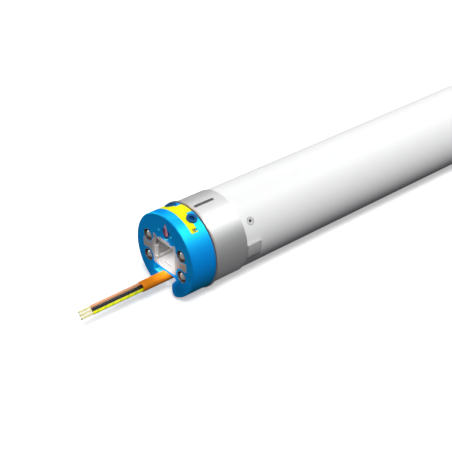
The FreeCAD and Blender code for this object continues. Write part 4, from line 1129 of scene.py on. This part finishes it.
def split_by_sight(tree, output, lighting, seen):
    """One shader for the light that a surface throws back, another for rays that see it directly.

    Camera and transmission rays see all of it, and glossy rays only a share.
    """
    path = tree.nodes.new("ShaderNodeLightPath")
    gloss = math_node(tree, "MULTIPLY", path.outputs["Is Glossy Ray"], GLOSSY_SHARE)
    share = math_node(tree, "MAXIMUM", path.outputs["Is Camera Ray"], gloss)
    share = math_node(tree, "MAXIMUM", share, path.outputs["Is Transmission Ray"])
    mix = tree.nodes.new("ShaderNodeMixShader")
    for given, taken in zip((share, lighting.outputs[0], seen.outputs[0]), mix.inputs):
        tree.links.new(given, taken)
    tree.links.new(mix.outputs[0], tree.nodes.new(output).inputs["Surface"])


def make_world(scene):
    """White surroundings that light the object only a little."""
    scene.world = bpy.data.worlds.new("studio")
    scene.world.use_nodes = True
    tree = scene.world.node_tree
    tree.nodes.clear()
    soft = place(tree, "ShaderNodeBackground", Color=(0.85, 0.93, 1.0, 1),
                 Strength=SKY_STRENGTH)
    white = place(tree, "ShaderNodeBackground", Color=(1, 1, 1, 1), Strength=1.0)
    split_by_sight(tree, "ShaderNodeOutputWorld", soft, white)


def floor_material():
    """White where it is seen, with the object's shadow; dim for the light that it throws back."""
    material = bpy.data.materials.new("floor_white")
    material.use_nodes = True
    tree = material.node_tree
    tree.nodes.clear()
    dim = place(tree, "ShaderNodeBsdfDiffuse", Color=(0.06, 0.06, 0.065, 1))
    pale = place(tree, "ShaderNodeBsdfDiffuse", Color=(0.92, 0.92, 0.92, 1))
    glow = place(tree, "ShaderNodeEmission", Color=(1, 1, 1, 1), Strength=FLOOR_GLOW)
    both = tree.nodes.new("ShaderNodeAddShader")
    tree.links.new(pale.outputs[0], both.inputs[0])
    tree.links.new(glow.outputs[0], both.inputs[1])
    split_by_sight(tree, "ShaderNodeOutputMaterial", dim, both)
    return material


class MOTOR_OT_add_stage(bpy.types.Operator):
    """Add the floor, the world and the lamps"""
    bl_idname = "motor.add_stage"
    bl_label = "Add the stage"

    def execute(self, context):
        scene = context.scene
        half = scene.motor_sizes.floor_size / 2
        bm = bmesh.new()
        corners = [(-half, -half), (half, -half), (half, half), (-half, half)]
        bm.faces.new([bm.verts.new((x, y, FLOOR_Z)) for x, y in corners])
        floor = bpy.data.objects.new("floor", mesh_of("floor", bm, smooth=False))
        floor.data.materials.append(floor_material())
        scene.collection.objects.link(floor)
        make_world(scene)
        for lamp in LAMPS:
            add_lamp(*lamp)
        scene.view_settings.view_transform = "Standard"
        return {"FINISHED"}


class MOTOR_PT_panel(bpy.types.Panel):
    """Tubular motor tools"""
    bl_label = "Tubular motor"
    bl_idname = "MOTOR_PT_panel"
    bl_space_type = "VIEW_3D"
    bl_region_type = "UI"
    bl_category = "Motor"

    def draw(self, context):
        for step in STEPS:
            self.layout.operator(step.bl_idname)
        for settings in (context.scene.motor_sizes, context.scene.motor_colours):
            box = self.layout.box()
            for name in settings.__annotations__:
                box.prop(settings, name)


STEPS = (MOTOR_OT_add_camera, MOTOR_OT_add_cable, MOTOR_OT_dress_head, MOTOR_OT_add_head_screws,
         MOTOR_OT_add_button_surround, MOTOR_OT_add_window_floors, MOTOR_OT_dress_tube,
         MOTOR_OT_add_crown_trim, MOTOR_OT_add_tube_screw_details, MOTOR_OT_dress_inside,
         MOTOR_OT_add_stage)
CLASSES = (MotorColours, MotorSizes, *STEPS, MOTOR_PT_panel)


def register():
    for cls in CLASSES:
        bpy.utils.register_class(cls)
    bpy.types.Scene.motor_colours = bpy.props.PointerProperty(type=MotorColours)
    bpy.types.Scene.motor_sizes = bpy.props.PointerProperty(type=MotorSizes)


def unregister():
    del bpy.types.Scene.motor_sizes
    del bpy.types.Scene.motor_colours
    for cls in reversed(CLASSES):
        bpy.utils.unregister_class(cls)


def main():
    register()
    for step in STEPS:
        area, call = step.bl_idname.split(".")
        getattr(getattr(bpy.ops, area), call)()


if __name__ == "__main__":
    main()
